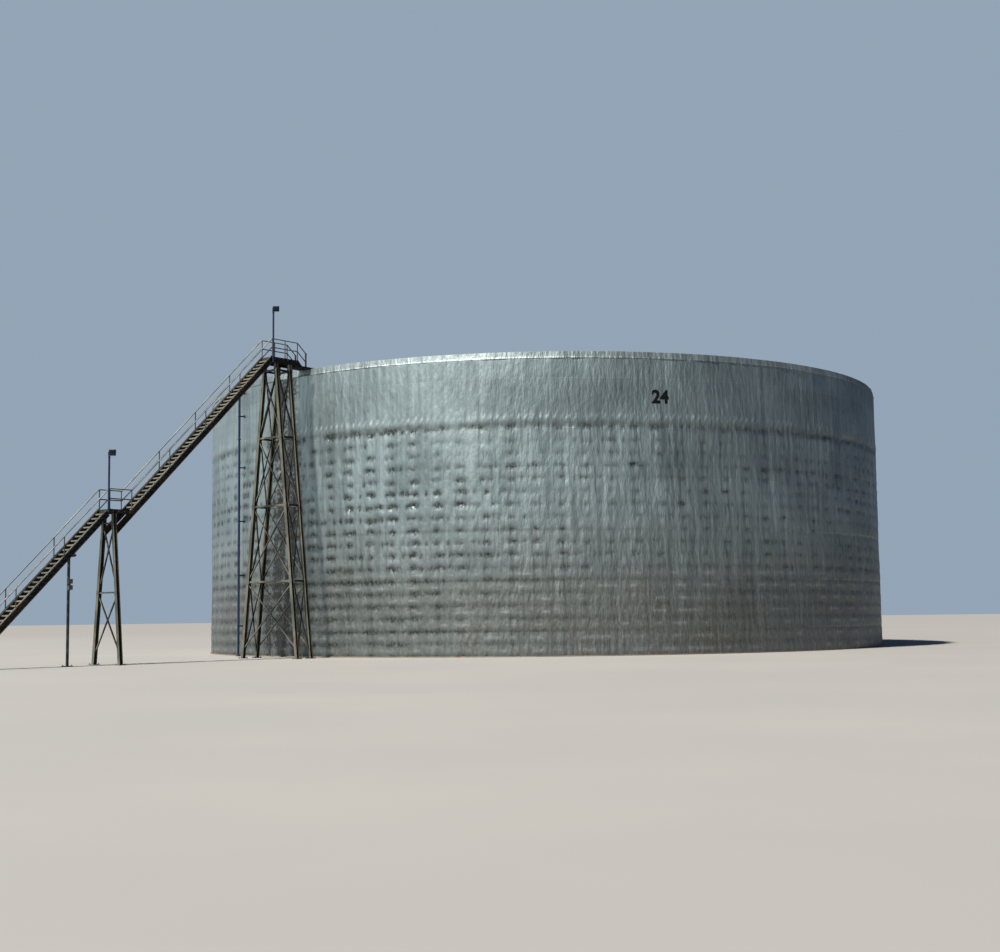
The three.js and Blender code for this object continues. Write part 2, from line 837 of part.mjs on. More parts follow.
/** One bent of the tower: two splayed legs with ties and crossed braces in their plane. */
function towerBent(name, distance) {
  const section = columnSection(COLUMN_WIDTH, COLUMN_THICKNESS);
  const tie = rectangle(TIE_WIDTH, TIE_WIDTH);
  const place = (side, height) =>
    stairPoint(distance, side * towerSpread(height), height);
  const parts = [];
  for (const side of [-1, 1]) {
    const [foot, head] = [place(side, 0), place(side, TOWER_TOP + TIE_WIDTH)];
    parts.push(member(section, foot, head, ALONG_STAIR));
    parts.push(basePlate(distance, side * TOWER_FOOT_SPREAD));
  }
  for (let index = 1; index < TOWER_LEVELS.length; index++) {
    const [low, high] = [TOWER_LEVELS[index - 1], TOWER_LEVELS[index]];
    parts.push(member(tie, place(-1, high), place(1, high), UP));
    parts.push(
      ...diagonals(
        place(-1, low + BRACE_INSET),
        place(1, low + BRACE_INSET),
        place(-1, high - BRACE_INSET),
        place(1, high - BRACE_INSET),
        ALONG_STAIR,
      ),
    );
  }
  const standing = block(
    [distance + BASE_PLATE_WIDTH, distance - BASE_PLATE_WIDTH],
    [-TANK_RADIUS, TANK_RADIUS],
    [0, TOWER_TOP],
  );
  return piece(name, join(parts).intersect(solidOf(standing)), stairPaint);
}

/** The ties and crossed braces between the two bents on one side of the tower. */
function towerBracing(name, side) {
  const outer = TOWER_OUTER_DISTANCE - COLUMN_WIDTH / 2 - CLEARANCE;
  const inner = TOWER_INNER_DISTANCE + COLUMN_WIDTH / 2 + CLEARANCE;
  const place = (distance, height) =>
    stairPoint(distance, side * towerSpread(height), height);
  const parts = [];
  for (let index = 1; index < TOWER_LEVELS.length; index++) {
    const [low, high] = [TOWER_LEVELS[index - 1], TOWER_LEVELS[index]];
    parts.push(
      member(
        rectangle(TIE_WIDTH, TIE_WIDTH),
        place(outer, high),
        place(inner, high),
        UP,
      ),
      ...diagonals(
        place(outer, low),
        place(inner, low),
        place(outer, high),
        place(inner, high),
        ACROSS_STAIR,
      ),
    );
  }
  const between = block(
    [outer, inner],
    [-TANK_RADIUS, TANK_RADIUS],
    [0, TOWER_TOP],
  );
  return piece(name, join(parts).intersect(solidOf(between)), stairPaint);
}

/** The tower that carries the platform. */
function stairTower() {
  const group = new THREE.Group();
  group.add(
    towerBent("tower_outer_bent", TOWER_OUTER_DISTANCE),
    towerBent("tower_inner_bent", TOWER_INNER_DISTANCE),
    towerBracing("tower_bracing_left", 1),
    towerBracing("tower_bracing_right", -1),
  );
  return group;
}

// Fittings

/** A light pole clamped to the outer face of a deck's beam, and its floodlight. */
function lightPole(name, distance, deckHeight, beamDepth, poleHeight) {
  const group = new THREE.Group();
  const across = -LIGHT_POLE_OFFSET;
  const foot = deckHeight - beamDepth;
  const top = deckHeight + poleHeight;
  const clampHeight = deckHeight - beamDepth / 2;
  const [reach, depth] = LIGHT_POLE_CLAMP;
  const pole = join([
    bar(
      LIGHT_POLE_RADIUS,
      RAIL_SIDES,
      stairPoint(distance, across, foot),
      stairPoint(distance, across, top),
    ),
    block(
      [distance, distance - reach],
      [across, -STRINGER_OUTER - CLEARANCE],
      [clampHeight - depth / 2, clampHeight + depth / 2],
    ),
  ]);
  group.add(piece(`${name}_light_pole`, pole, navyEnamel));

  const housing = new THREE.BoxGeometry(LAMP_DEPTH, LAMP_WIDTH, LAMP_HEIGHT);
  housing.translate(0, LAMP_OVERHANG - LAMP_WIDTH / 2, LAMP_STRAP + LAMP_HEIGHT / 2);
  const strap = new THREE.BoxGeometry(BRACKET_WIDTH, LAMP_WIDTH, LAMP_STRAP);
  strap.translate(0, LAMP_OVERHANG - LAMP_WIDTH / 2, CLEARANCE + LAMP_STRAP / 2);
  const lamp = piece(`${name}_floodlight`, join([housing, strap]), lampHousing);
  lamp.position.copy(stairPoint(distance, across, top));
  lamp.rotation.z = Math.PI / 2 + LAMP_TURN;
  group.add(lamp);
  return group;
}

/** The riser pipe that climbs beside the wall, held off it by brackets, and turns in at its top. */
function riserPipe() {
  const centre = TANK_RADIUS + RISER_STANDOFF;
  const face = wallFace(RISER_ANGLE) + CLEARANCE;
  const outward = (radius, height) => new THREE.Vector3(radius, 0, height);
  const parts = [
    bar(RISER_RADIUS, POST_SIDES, outward(centre, 0), outward(centre, RISER_TOP)),
    bar(
      RISER_RADIUS,
      POST_SIDES,
      outward(centre, RISER_TOP),
      outward(face, RISER_TOP),
    ),
    new THREE.SphereGeometry(RISER_RADIUS, POST_SIDES, POST_SIDES / 2).translate(
      centre,
      0,
      RISER_TOP,
    ),
    bar(
      RISER_FLANGE_RADIUS,
      POST_SIDES,
      outward(centre, 0),
      outward(centre, RISER_FLANGE_THICKNESS),
    ),
  ];
  for (const height of BRACKET_HEIGHTS) {
    parts.push(
      member(
        rectangle(BRACKET_WIDTH, BRACKET_WIDTH),
        outward(centre, height),
        outward(face, height),
        UP,
      ),
    );
  }
  const pipe = piece("riser_pipe", join(parts), navyEnamel);
  pipe.rotation.z = RISER_ANGLE;
  return pipe;
}

/** Two switch boxes on one back plate, strapped to the lower post. */
function switchBoxes() {
  const [width, depth, height] = SWITCH_BOX_SIZE;
  const face = POST_RADIUS * Math.cos(Math.PI / POST_SIDES) + CLEARANCE;
  const [lowest, highest] = SWITCH_BOX_HEIGHTS;
  const plate = block(
    [POST_DISTANCE + POST_RADIUS, POST_DISTANCE - POST_RADIUS],
    [-face - SWITCH_PLATE_THICKNESS, -face],
    [lowest - height / 2, highest + height / 2],
  );
  const boxes = SWITCH_BOX_HEIGHTS.map((middle) =>
    block(
      [POST_DISTANCE + width / 2, POST_DISTANCE - width / 2],
      [-face - depth, -face - SWITCH_PLATE_THICKNESS / 2],
      [middle - height / 2, middle + height / 2],
    ),
  );
  return piece("switch_boxes", join([plate, ...boxes]), boxEnamel);
}

const tank = new THREE.Group();
tank.add(tankFloor(), tankWall(), tankRoof(), rimFlashing());

const stair = new THREE.Group();
stair.add(lowerFlight(), midLanding(), upperFlight(), topPlatform(), roofSteps());
stair.add(handrails(), lowerPost(), landingTrestle(), stairTower());

const fittings = new THREE.Group();
fittings.add(
  lightPole(
    "mid",
    LANDING_START + MID_POLE_LEAD,
    LANDING_HEIGHT,
    LANDING_BEAM_DEPTH,
    MID_POLE_HEIGHT,
  ),
  lightPole(
    "top",
    PLATFORM_START,
    PLATFORM_HEIGHT,
    PLATFORM_BEAM_DEPTH,
    TOP_POLE_HEIGHT,
  ),
  riserPipe(),
  switchBoxes(),
);

const model = new THREE.Group();
model.add(tank, stair, fittings);

export default model;
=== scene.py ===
"""Dresses the insulated storage tank and its free-standing stair, a scale model at 1:2.

Sizes are those of the real tank in metres, and keep() brings each finished piece to the model's
scale. The tank's axis is the Z axis, and the stair runs in from -X.
"""
import logging
import math
from collections.abc import Callable, Iterable, Iterator, Mapping, Sequence
from contextlib import contextmanager
from dataclasses import dataclass, field
from enum import Enum
from functools import partial

import bmesh
import bpy
import numpy as np
from mathutils import Matrix, Vector


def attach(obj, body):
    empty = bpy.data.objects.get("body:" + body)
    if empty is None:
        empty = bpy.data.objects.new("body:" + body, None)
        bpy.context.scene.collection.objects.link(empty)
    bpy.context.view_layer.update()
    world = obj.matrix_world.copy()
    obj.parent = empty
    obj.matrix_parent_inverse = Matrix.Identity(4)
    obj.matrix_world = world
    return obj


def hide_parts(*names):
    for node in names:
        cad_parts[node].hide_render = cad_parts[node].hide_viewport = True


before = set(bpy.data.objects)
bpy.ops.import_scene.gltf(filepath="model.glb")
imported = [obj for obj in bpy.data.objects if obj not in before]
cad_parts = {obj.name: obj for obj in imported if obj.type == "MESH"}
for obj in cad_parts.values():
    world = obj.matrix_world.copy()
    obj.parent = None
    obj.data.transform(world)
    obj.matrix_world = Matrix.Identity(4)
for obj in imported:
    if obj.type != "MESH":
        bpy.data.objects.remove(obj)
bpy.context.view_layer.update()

LOG = logging.getLogger("tank")
SCALE = 0.5
# The clearance between pieces that touch.
HAIR = 0.0006
TANK_RADIUS = 20.0
GIRTH = 2 * math.pi * TANK_RADIUS
SMOOTH_ANGLE = math.radians(32)
UP = Vector((0, 0, 1))
# The right and the left of someone climbing the stair.
SIDES = (-1, 1)

Colour = tuple[float, float, float, float]
Point = Sequence[float]
Thing = bpy.types.Object
Source = bpy.types.Node | bpy.types.NodeSocket
NodeMaker = Callable[..., bpy.types.Node]
Test = Callable[[Vector, Vector], bool]
Line = Callable[[float], float]
Relief = Callable[[np.ndarray, np.ndarray], np.ndarray]


class Slot(Enum):
    """The record's material slots by name; no piece here is given one."""

    JACKETING = "jacketing"
    ROOF = "roof_sheet"
    STAIR = "stair_paint"
    RAIL = "rail_paint"
    NAVY = "navy_enamel"
    LAMP = "lamp_housing"
    GLASS = "lamp_glass"
    BOX = "box_enamel"
    NUMBER = "number_paint"


# Materials

RGBA = {"data_type": "RGBA"}
ADD = {"operation": "ADD"}
TIMES = {"operation": "MULTIPLY"}


def linear(hex_colour: str) -> Colour:
    """Turns an sRGB hex colour, such as "#8f9a9e", to linear light with alpha."""
    parts = [int(hex_colour[i : i + 2], 16) / 255 for i in (1, 3, 5)]
    light = [c / 12.92 if c <= 0.04045 else ((c + 0.055) / 1.055) ** 2.4 for c in parts]
    return (light[0], light[1], light[2], 1.0)


def repeats(*sizes_mm: float) -> tuple[float, ...]:
    """Pattern repeats per model metre along each axis.

    Args:
        *sizes_mm: The real sizes in millimetres, or one that holds for all axes.

    Returns:
        Three values.
    """
    return tuple(1000 / (size * SCALE) for size in (sizes_mm * 3)[:3])


def feed(node: bpy.types.Node, links: Mapping[str | int, Source]) -> None:
    """Links inputs to a socket each, or to the first output in use of a node."""
    for key, source in links.items():
        if isinstance(source, bpy.types.Node):
            source = next(out for out in source.outputs if out.enabled)
        node.id_data.links.new(source, node.inputs[key])


def add_node(
    tree: bpy.types.NodeTree,
    kind: str,
    settings: Mapping | None = None,
    links: Mapping | None = None,
) -> bpy.types.Node:
    """Adds one shader node.

    Args:
        tree: The node tree it goes into.
        kind: The node's type, without the word ShaderNode.
        settings: Values by input name or number, or by the node's own property.
        links: What feeds an input, by its name or number.

    Returns:
        The new node.
    """
    node = tree.nodes.new(f"ShaderNode{kind}")
    for key, value in (settings or {}).items():
        if isinstance(key, str) and key not in node.inputs:
            setattr(node, key, value)
        else:
            node.inputs[key].default_value = value
    feed(node, links or {})
    return node


@dataclass(frozen=True)
class Finish:
    """A surface: its name and the values that are the same all over it."""

    name: str
    colour: str
    roughness: float = 0.5
    metallic: float = 0.0
    shine: float = 0.5

    def material(self) -> bpy.types.Material:
        """The finish as a material, made once and used again."""
        made = bpy.data.materials.get(self.name)
        if made is None:
            made = bpy.data.materials.new(self.name)
            made.use_nodes = True
            shader = made.node_tree.nodes["Principled BSDF"]
            for key, value in self.plain().items():
                shader.inputs[key].default_value = value
            feed(shader, self.detail(partial(add_node, made.node_tree)))
        return made

    def plain(self) -> dict[str, float | Colour]:
        """The shader's plain values by input."""
        return {
            "Base Color": linear(self.colour),
            "Roughness": self.roughness,
            "Metallic": self.metallic,
            "Specular IOR Level": self.shine,
        }

    def detail(self, node: NodeMaker) -> dict[str, Source]:
        """The finish's own pattern: what feeds each of the shader's inputs."""
        return {}

    def grain(
        self, node: NodeMaker, place: Source, stretch: Point, octaves: float = 4.0
    ) -> bpy.types.Node:
        """A noise pattern, stretched along the axes.

        Args:
            node: Adds a node to the material.
            place: The coordinates it reads.
            stretch: Repeats per unit along each axis.
            octaves: How many layers it has.

        Returns:
            The noise.
        """
        stretched = node("Mapping", {"Scale": tuple(stretch)}, {"Vector": place})
        layers = {"Scale": 1.0, "Detail": octaves, "Roughness": 0.55}
        return node("TexNoise", layers, {"Vector": stretched})

    def surface(
        self,
        node: NodeMaker,
        colour: Source,
        gloss: tuple[Source, float, float],
        relief: tuple[Source, float, float],
    ) -> dict[str, Source]:
        """A colour with an uneven gloss and a relief.

        Args:
            node: Adds a node to the material.
            colour: The finished colour.
            gloss: The pattern that dulls it, and what that adds to the roughness at each end.
            relief: The pattern that stands out, its strength and its real depth in millimetres.

        Returns:
            What feeds each of the shader's inputs.
        """
        pattern, least, most = gloss
        dull = {1: 0.3, 2: 0.7, 3: self.roughness + least, 4: self.roughness + most}
        height, strength, depth_mm = relief
        size = {"Strength": strength, "Distance": depth_mm * SCALE / 1000}
        return {
            "Base Color": colour,
            "Roughness": node("MapRange", dull, {0: pattern}),
            "Normal": node("Bump", size, {"Height": height}),
        }


@dataclass(frozen=True)
class JacketingSheet(Finish):
    """Stucco aluminium jacketing, dulled by oxide: a broad soft glare, streaks and dust.

    Its UV map is in real metres, along the wall and up it, so its patterns are in repeats per
    real metre: streaks 0.3 m wide run down the sheets, and blotches are 3 to 5 m across.
    """

    dark: str = "#7a8584"
    dust: str = "#69655d"
    band_shade_grime: str = "#46443f"
    shade_and_soil: str = "#343634"
    # The colour of the painted glints.
    painted_glint: str = "#e2e6e4"
    # Two sheet tones, and a lighter tone along the seams as a painted highlight on the lap edges.
    sheet_tones_and_seam_glint: tuple[str, str, str] = ("#e9ebec", "#d6d9db", "#f4f6f6")
    dust_top: float = 7.4
    dust_fade: float = 5.0
    sheet_length: float = 3.66
    sheet_width: float = 2.44
    seam_width: float = 0.012
    first_seam: float = 1.22
    band_height: float = 11.14
    band_darkening: float = 0.35

    def detail(self, node: NodeMaker) -> dict[str, Source]:
        """Streaks, sheets of slightly different tone, dust, painted shade and grime in the dents
        and the crumpled band, painted glints and fine wrinkles.
        """
        metres = node("TexCoord").outputs["UV"]
        blotch = self.grain(node, metres, (0.22, 0.3, 1.0))
        streak = self.grain(node, metres, (3.4, 0.16, 1.0), 5.0)
        speck = self.grain(node, metres, (7.0, 5.0, 1.0), 3.0)
        both = node("Math", ADD, {0: blotch, 1: streak})
        tone = node("MapRange", {1: 0.72, 2: 1.24}, {0: both})
        ends = {6: linear(self.dark), 7: linear(self.colour)}
        colour = node("Mix", RGBA | ends, {0: tone})

        lifted = node("Mapping", {"Location": (0.0, self.first_seam, 0.0)}, {"Vector": metres})
        # The seams take the lightest tone: a painted highlight along the lap edges.
        tones = dict(zip(("Color1", "Color2", "Mortar"), map(linear, self.sheet_tones_and_seam_glint)))
        sizes = {
            "Scale": 1.0,
            "Mortar Size": self.seam_width,
            "Brick Width": self.sheet_length,
            "Row Height": self.sheet_width,
        }
        sheets = node("TexBrick", tones | sizes, {"Vector": lifted})
        colour = node("Mix", RGBA | {"blend_type": "MULTIPLY", 0: 0.9}, {6: colour, 7: sheets})

        height = node("SeparateXYZ", None, {"Vector": metres}).outputs["Y"]
        fade = {1: self.dust_top - self.dust_fade, 2: self.dust_top, 3: 1.0, 4: 0.0}
        low = node("MapRange", fade, {0: height})
        mottle = node("Math", ADD, {0: blotch, 1: speck})
        patchy = node("MapRange", {1: 0.75, 2: 1.25, 3: 0.3, 4: 0.9}, {0: mottle})
        dusty = node("Math", TIMES, {0: low, 1: patchy})
        colour = node("Mix", RGBA | {7: linear(self.dust)}, {0: dusty, 6: colour})

        # Painted shade with grime along the crumpled band over the top seam.
        above = node("Math", {"operation": "SUBTRACT", 1: self.band_height}, {0: height})
        off_band = node("Math", {"operation": "ABSOLUTE"}, {0: above})
        near = node("MapRange", {1: 0.1, 2: 0.3, 3: self.band_darkening, 4: 0.0}, {0: off_band})
        band_darkened = node("Math", TIMES, {0: near, 1: patchy})
        colour = node("Mix", RGBA | {7: linear(self.band_shade_grime)}, {0: band_darkened, 6: colour})

        flecks = self.grain(node, metres, (8.0, 6.0, 1.0), 3.0)
        uneven = node("MapRange", {1: 0.36, 2: 0.6, 3: 0.45, 4: 1.3}, {0: flecks})
        # Painted shade and grime darken the dents and the crumpled band; where the marks fall below
        # 0, glints are painted.
        hollow = node("Attribute", {"attribute_name": "hollow"}).outputs["Fac"]
        marks = node("Math", TIMES, {0: hollow, 1: uneven})
        shaded_soiled = node("MapRange", None, {0: marks})
        colour = node("Mix", RGBA | {7: linear(self.shade_and_soil)}, {0: shaded_soiled, 6: colour})
        # Painted highlights: below 0 the marks turn into bright painted glints.
        glinting = node("MapRange", {1: -1.0, 2: 0.0, 3: 1.0, 4: 0.0}, {0: marks})
        colour = node("Mix", RGBA | {7: linear(self.painted_glint)}, {0: glinting, 6: colour})

        creases = self.grain(node, metres, (5.0, 1.5, 1.0), 3.0)
        return self.surface(node, colour, (streak, -0.05, 0.07), (creases, 1.0, 60))


@dataclass(frozen=True)
class RoofSheet(Finish):
    """Bare sheet or zinc, greyed by weather: matt, with rain stains and a fine unevenness."""

    stain: str = "#62625d"

    def detail(self, node: NodeMaker) -> dict[str, Source]:
        """Stains and a fine unevenness."""
        place = node("TexCoord").outputs["Object"]
        blotch = self.grain(node, place, repeats(3000), 5.0)
        fine = self.grain(node, place, repeats(350))
        both = node("Math", ADD, {0: blotch, 1: fine})
        worn = node("MapRange", {1: 0.8, 2: 1.24}, {0: both})
        ends = {6: linear(self.stain), 7: linear(self.colour)}
        colour = node("Mix", RGBA | ends, {0: worn})
        return self.surface(node, colour, (fine, 0.0, 0.12), (fine, 0.35, 10))


@dataclass(frozen=True)
class EnamelledSteel(Finish):
    """Brushed-on alkyd enamel over rolled steel: dark and dull, painted pale on the faces towards
    the sun as painted light, and faded pale in patches.

    Rust shows where the enamel has worn, with runs below it.
    """

    # The pale colour: faded enamel in patches, and painted sunlight on the sun's side.
    faded_and_lit: str = "#5c5d54"
    rust: str = "#4a2c1b"
    rusted: float = 0.4
    grit_mm: float = 60.0
    # The direction whose faces get painted light, a paler colour on the side towards the sun.
    lit_side: tuple[float, float, float] = (-0.85, 0.15, 0.5)

    def detail(self, node: NodeMaker) -> dict[str, Source]:
        """Fading, rust patches and runs below them."""
        coordinates = node("TexCoord").outputs
        place = coordinates["Object"]
        broad = self.grain(node, place, repeats(900, 900, 1600))
        runs = self.grain(node, place, repeats(70, 70, 600), 5.0)
        grit = self.grain(node, place, repeats(self.grit_mm), 3.0)
        # Painted light: faces turned towards the sun are mixed towards the pale colour.
        towards_sun = {"operation": "DOT_PRODUCT", 1: self.lit_side}
        towards_light = node("VectorMath", towards_sun, {0: coordinates["Normal"]}).outputs["Value"]
        painted_sunlight = node("MapRange", {1: 0.1, 2: 0.7, 3: -0.1, 4: 0.9}, {0: towards_light})
        patchy = node("MapRange", {1: 0.4, 2: 0.6, 3: -0.5, 4: 0.2}, {0: broad})
        faded_and_lit = node("Math", ADD | {"use_clamp": True}, {0: painted_sunlight, 1: patchy})
        ends = {6: linear(self.colour), 7: linear(self.faded_and_lit)}
        colour = node("Mix", RGBA | ends, {0: faded_and_lit})
        wear = node("Math", ADD, {0: broad, 1: runs})
        edge = 1.32 - 0.4 * self.rusted
        rust = node("MapRange", {1: edge - 0.06, 2: edge + 0.1, 3: 0.0, 4: 0.9}, {0: wear})
        colour = node("Mix", RGBA | {7: linear(self.rust)}, {0: rust, 6: colour})
        height = node("Math", ADD, {0: grit, 1: rust})
        return self.surface(node, colour, (grit, -0.08, 0.14), (height, 0.4, 3))


@dataclass(frozen=True)
class MattPaint(Finish):
    """Brushed sign paint or powder coat: an even colour with a faint mottle."""

    worn: str = "#1c242a"
    patch_mm: float = 200.0

    def detail(self, node: NodeMaker) -> dict[str, Source]:
        """The mottle and a fine orange peel."""
        place = node("TexCoord").outputs["Object"]
        patch = self.grain(node, place, repeats(self.patch_mm))
        fine = self.grain(node, place, repeats(25), 2.0)
        mottle = node("MapRange", {1: 0.4, 2: 0.68}, {0: patch})
        ends = {6: linear(self.colour), 7: linear(self.worn)}
        colour = node("Mix", RGBA | ends, {0: mottle})
        return self.surface(node, colour, (patch, 0.0, 0.1), (fine, 0.2, 1))


@dataclass(frozen=True)
class FloodGlass(Finish):
    """Toughened float glass over a bright reflector: smooth, clear gloss on a pale ground."""

    between_ribs: str = "#8a9296"
    rib_mm: float = 60.0

    def plain(self) -> dict[str, float | Colour]:
        """The plain values, with the clear gloss."""
        return super().plain() | {"Coat Weight": 1.0, "Coat Roughness": 0.04}

    def detail(self, node: NodeMaker) -> dict[str, Source]:
        """The faint ribs of the reflector behind the glass."""
        # A wave texture of scale 1 has a band every 1/6.3 of a unit.
        bands = {"Scale": repeats(self.rib_mm)[0] / 6.3, "bands_direction": "Z"}
        ribs = node("TexWave", bands, {"Vector": node("TexCoord").outputs["Object"]})
        ends = {6: linear(self.between_ribs), 7: linear(self.colour)}
        return {"Base Color": node("Mix", RGBA | ends, {0: ribs.outputs["Fac"]})}


# Weathered aluminium reads as a grey metal with a very broad highlight.
WALL_SHEET = JacketingSheet("aluminium_jacketing_weathered", "#9eaaaa", 0.48, 0.9)
# The flashing is newer sheet, so it is even in tone and has no ground dust.
RIM_SHEET = JacketingSheet(
    "aluminium_flashing_bright", "#909a99", 0.52, 0.8, dark="#747d7d", dust_top=-2.0, band_darkening=0.0
)
# Flat sheet under years of dust hardly glints.
ROOF_SHEET = RoofSheet("aluminium_roof_sheet_matt", "#7d8280", 0.68, 0.45)
# Brown enamel with painted light: khaki on the faces towards the sun, nearly matt, with rust coming
# through.
STAIR_ENAMEL = EnamelledSteel("brown_alkyd_enamel_sunlit", "#1a1915", 0.7, 0.0, 0.15)
# The same enamel, scuffed by boots: paler, with dust in it.
TREAD_ENAMEL = EnamelledSteel(
    "khaki_enamel_trodden", "#3b3830", 0.7, 0.0, 0.2, "#74705f", "#5a3722", 0.25
)
# Olive grey enamel on the rails, rubbed by hands and painted pale on the sun's side as painted
# light.
RAIL_ENAMEL = EnamelledSteel(
    "olive_grey_enamel", "#4b4b41", 0.6, 0.0, 0.25, "#98978a", "#74401f", 0.34
)
# Burnt scale at a weld rusts first: rough and orange brown.
WELD_RUST = EnamelledSteel(
    "rusted_weld_scale", "#6b3a1e", 0.75, 0.0, 0.2, "#7c4a28", "#4f2a18", 0.6
)
# Navy gloss enamel: deep blue, with the most shine of the paints.
NAVY_ENAMEL = EnamelledSteel(
    "navy_gloss_enamel", "#0f1a2c", 0.45, 0.0, 0.3, "#16284a", "#2a211d", 0.1
)
# Mill scale under dust: an earthy brown plate without shine.
FLOOR_STEEL = EnamelledSteel(
    "mill_scale_plate_dusty", "#5d564c", 0.7, faded_and_lit="#7b7060", rust="#6a3d22"
)
# Painted shade: the frames round the decks lie in the shade, so they take a near black copy of the
# enamel.
SHADED_ENAMEL = EnamelledSteel(
    "brown_alkyd_enamel_shaded", "#191814", 0.7, 0.0, 0.15, "#33332d"
)
# Slate enamel on the post: dark and half gloss, with only a little painted light on its sun's side.
POST_ENAMEL = EnamelledSteel(
    "slate_enamel_post", "#20272b", 0.5, 0.0, 0.3, "#363d40", "#3a2f28", 0.15
)
# Zinc plating dulls to a mottled mid grey within a season.
ZINC = RoofSheet("zinc_plated_bolts", "#8b8e90", 0.45, 0.9, stain="#5c5a56")
# Powder coat on a die casting: an even blue black, half matt.
LAMP_COAT = MattPaint("powder_coated_die_casting", "#10161b", 0.5, 0.0, 0.3)
# Grey enamel on sheet steel: half matt, with dark handling marks.
BOX_COAT = MattPaint("grey_box_enamel", "#4b4e4c", 0.5, 0.0, worn="#2f302d")
# Black sign paint: flat, and even to the edge.
NUMBER_PAINT = MattPaint("black_sign_paint", "#060708", 0.7, 0.0, 0.1, worn="#0b0c0d")
# Float glass over the reflector: pale and sharply glossy.
LAMP_GLASS = FloodGlass("toughened_float_glass", "#c4cbd0", 0.12)
# A matt painted floor with a broad, faint mottle.
STUDIO_FLOOR = MattPaint("pale_studio_floor", "#807e7a", 0.9, 0.0, worn="#83817c", patch_mm=9000)


# Modelling


def alone(thing: Thing) -> None:
    """Selects one object only and makes it the active one."""
    bpy.ops.object.select_all(action="DESELECT")
    thing.select_set(True)
    bpy.context.view_layer.objects.active = thing


def add(operator: Callable, **settings: object) -> Thing:
    """Adds a primitive at its size and place, with nothing else selected.

    Args:
        operator: The operator of bpy.ops.mesh that makes it.
        **settings: The operator's own settings.

    Returns:
        The new object, with its place in its mesh.
    """
    bpy.ops.object.select_all(action="DESELECT")
    operator(**settings)
    bpy.ops.object.transform_apply(location=True, rotation=True, scale=True)
    return bpy.context.active_object


@contextmanager
def editing(thing: Thing, everything: bool = False) -> Iterator[None]:
    """Edit mode on one object, with everything or nothing of it selected at first."""
    alone(thing)
    bpy.ops.object.mode_set(mode="EDIT")
    bpy.ops.mesh.select_mode(type="FACE")
    bpy.ops.mesh.select_all(action="SELECT" if everything else "DESELECT")
    yield
    bpy.ops.object.mode_set(mode="OBJECT")


def pick(thing: Thing, test: Test, edges: bool = False) -> None:
    """Selects parts of the edited object that pass a test.

    Args:
        thing: The object.
        test: Takes a face's middle and normal, or an edge's two ends.
        edges: Whether edges are picked and not faces.
    """
    bpy.ops.mesh.select_mode(type="EDGE" if edges else "FACE")
    bpy.ops.mesh.select_all(action="DESELECT")
    shape = bmesh.from_edit_mesh(thing.data)
    for edge in shape.edges if edges else ():
        edge.select_set(test(edge.verts[0].co, edge.verts[1].co))
    for face in () if edges else shape.faces:
        face.select_set(test(face.calc_center_median(), face.normal))
    bmesh.update_edit_mesh(thing.data)


def facing(*direction: float) -> Test:
    """A test for faces that look one way."""
    aim = Vector(direction).normalized()
    return lambda middle, normal: normal.dot(aim) > 0.95


def push(*offset: float) -> None:
    """Extrudes what is selected by an offset."""
    bpy.ops.mesh.extrude_region_move(TRANSFORM_OT_translate={"value": offset})


def cut(thing: Thing, place: Vector, away: Point) -> None:
    """Cuts off and closes the part of an object that lies past a plane."""
    with editing(thing, everything=True):
        bpy.ops.mesh.bisect(plane_co=place, plane_no=away, use_fill=True, clear_outer=True)


def block(centre: Point, size: Point) -> Thing:
    """A plain block, the start of a shaped piece."""
    return add(bpy.ops.mesh.primitive_cube_add, size=1, location=centre, scale=size)


def plate(low: Point, high: Point, bevel: float = 0.004) -> Thing:
    """A rolled plate between two corners, with its edges broken.

    Args:
        low: Its lowest corner.
        high: Its highest corner.
        bevel: How much of each edge is taken off.

    Returns:
        The plate.
    """
    corner, far = Vector(low), Vector(high)
    thing = block((corner + far) / 2, far - corner)
    with editing(thing, everything=True):
        bpy.ops.mesh.bevel(offset=bevel, segments=1, affect="EDGES")
    return thing


def rod(start: Vector, end: Vector, radius: float, sides: int, chamfer: float = 0.15) -> Thing:
    """A round bar or closed tube between two points, with chamfered ends.

    Args:
        start: One end.
        end: The other end.
        radius: Its radius.
        sides: How many faces it has round it.
        chamfer: The chamfer as a share of the radius.

    Returns:
        The bar.
    """
    along = end - start
    aim = along.normalized()
    tip = aim * radius * chamfer
    thing = add(
        bpy.ops.mesh.primitive_cylinder_add,
        vertices=sides,
        radius=radius,
        depth=along.length - 2 * tip.length,
        location=(start + end) / 2,
        rotation=along.to_track_quat("Z", "Y").to_euler(),
    )
    with editing(thing):
        pick(thing, lambda middle, normal: abs(normal.dot(aim)) > 0.95)
        bpy.ops.mesh.inset(thickness=radius * chamfer)
        pick(thing, lambda middle, normal: (middle - end).length < 2 * tip.length)
        bpy.ops.transform.translate(value=tip)
        pick(thing, lambda middle, normal: (middle - start).length < 2 * tip.length)
        bpy.ops.transform.translate(value=-tip)
    return thing


def upright(foot: Vector, rise: float, radius: float, sides: int, chamfer: float = 0.15) -> Thing:
    """A rod that stands on a point and rises by a height."""
    return rod(foot, foot + UP * rise, radius, sides, chamfer)


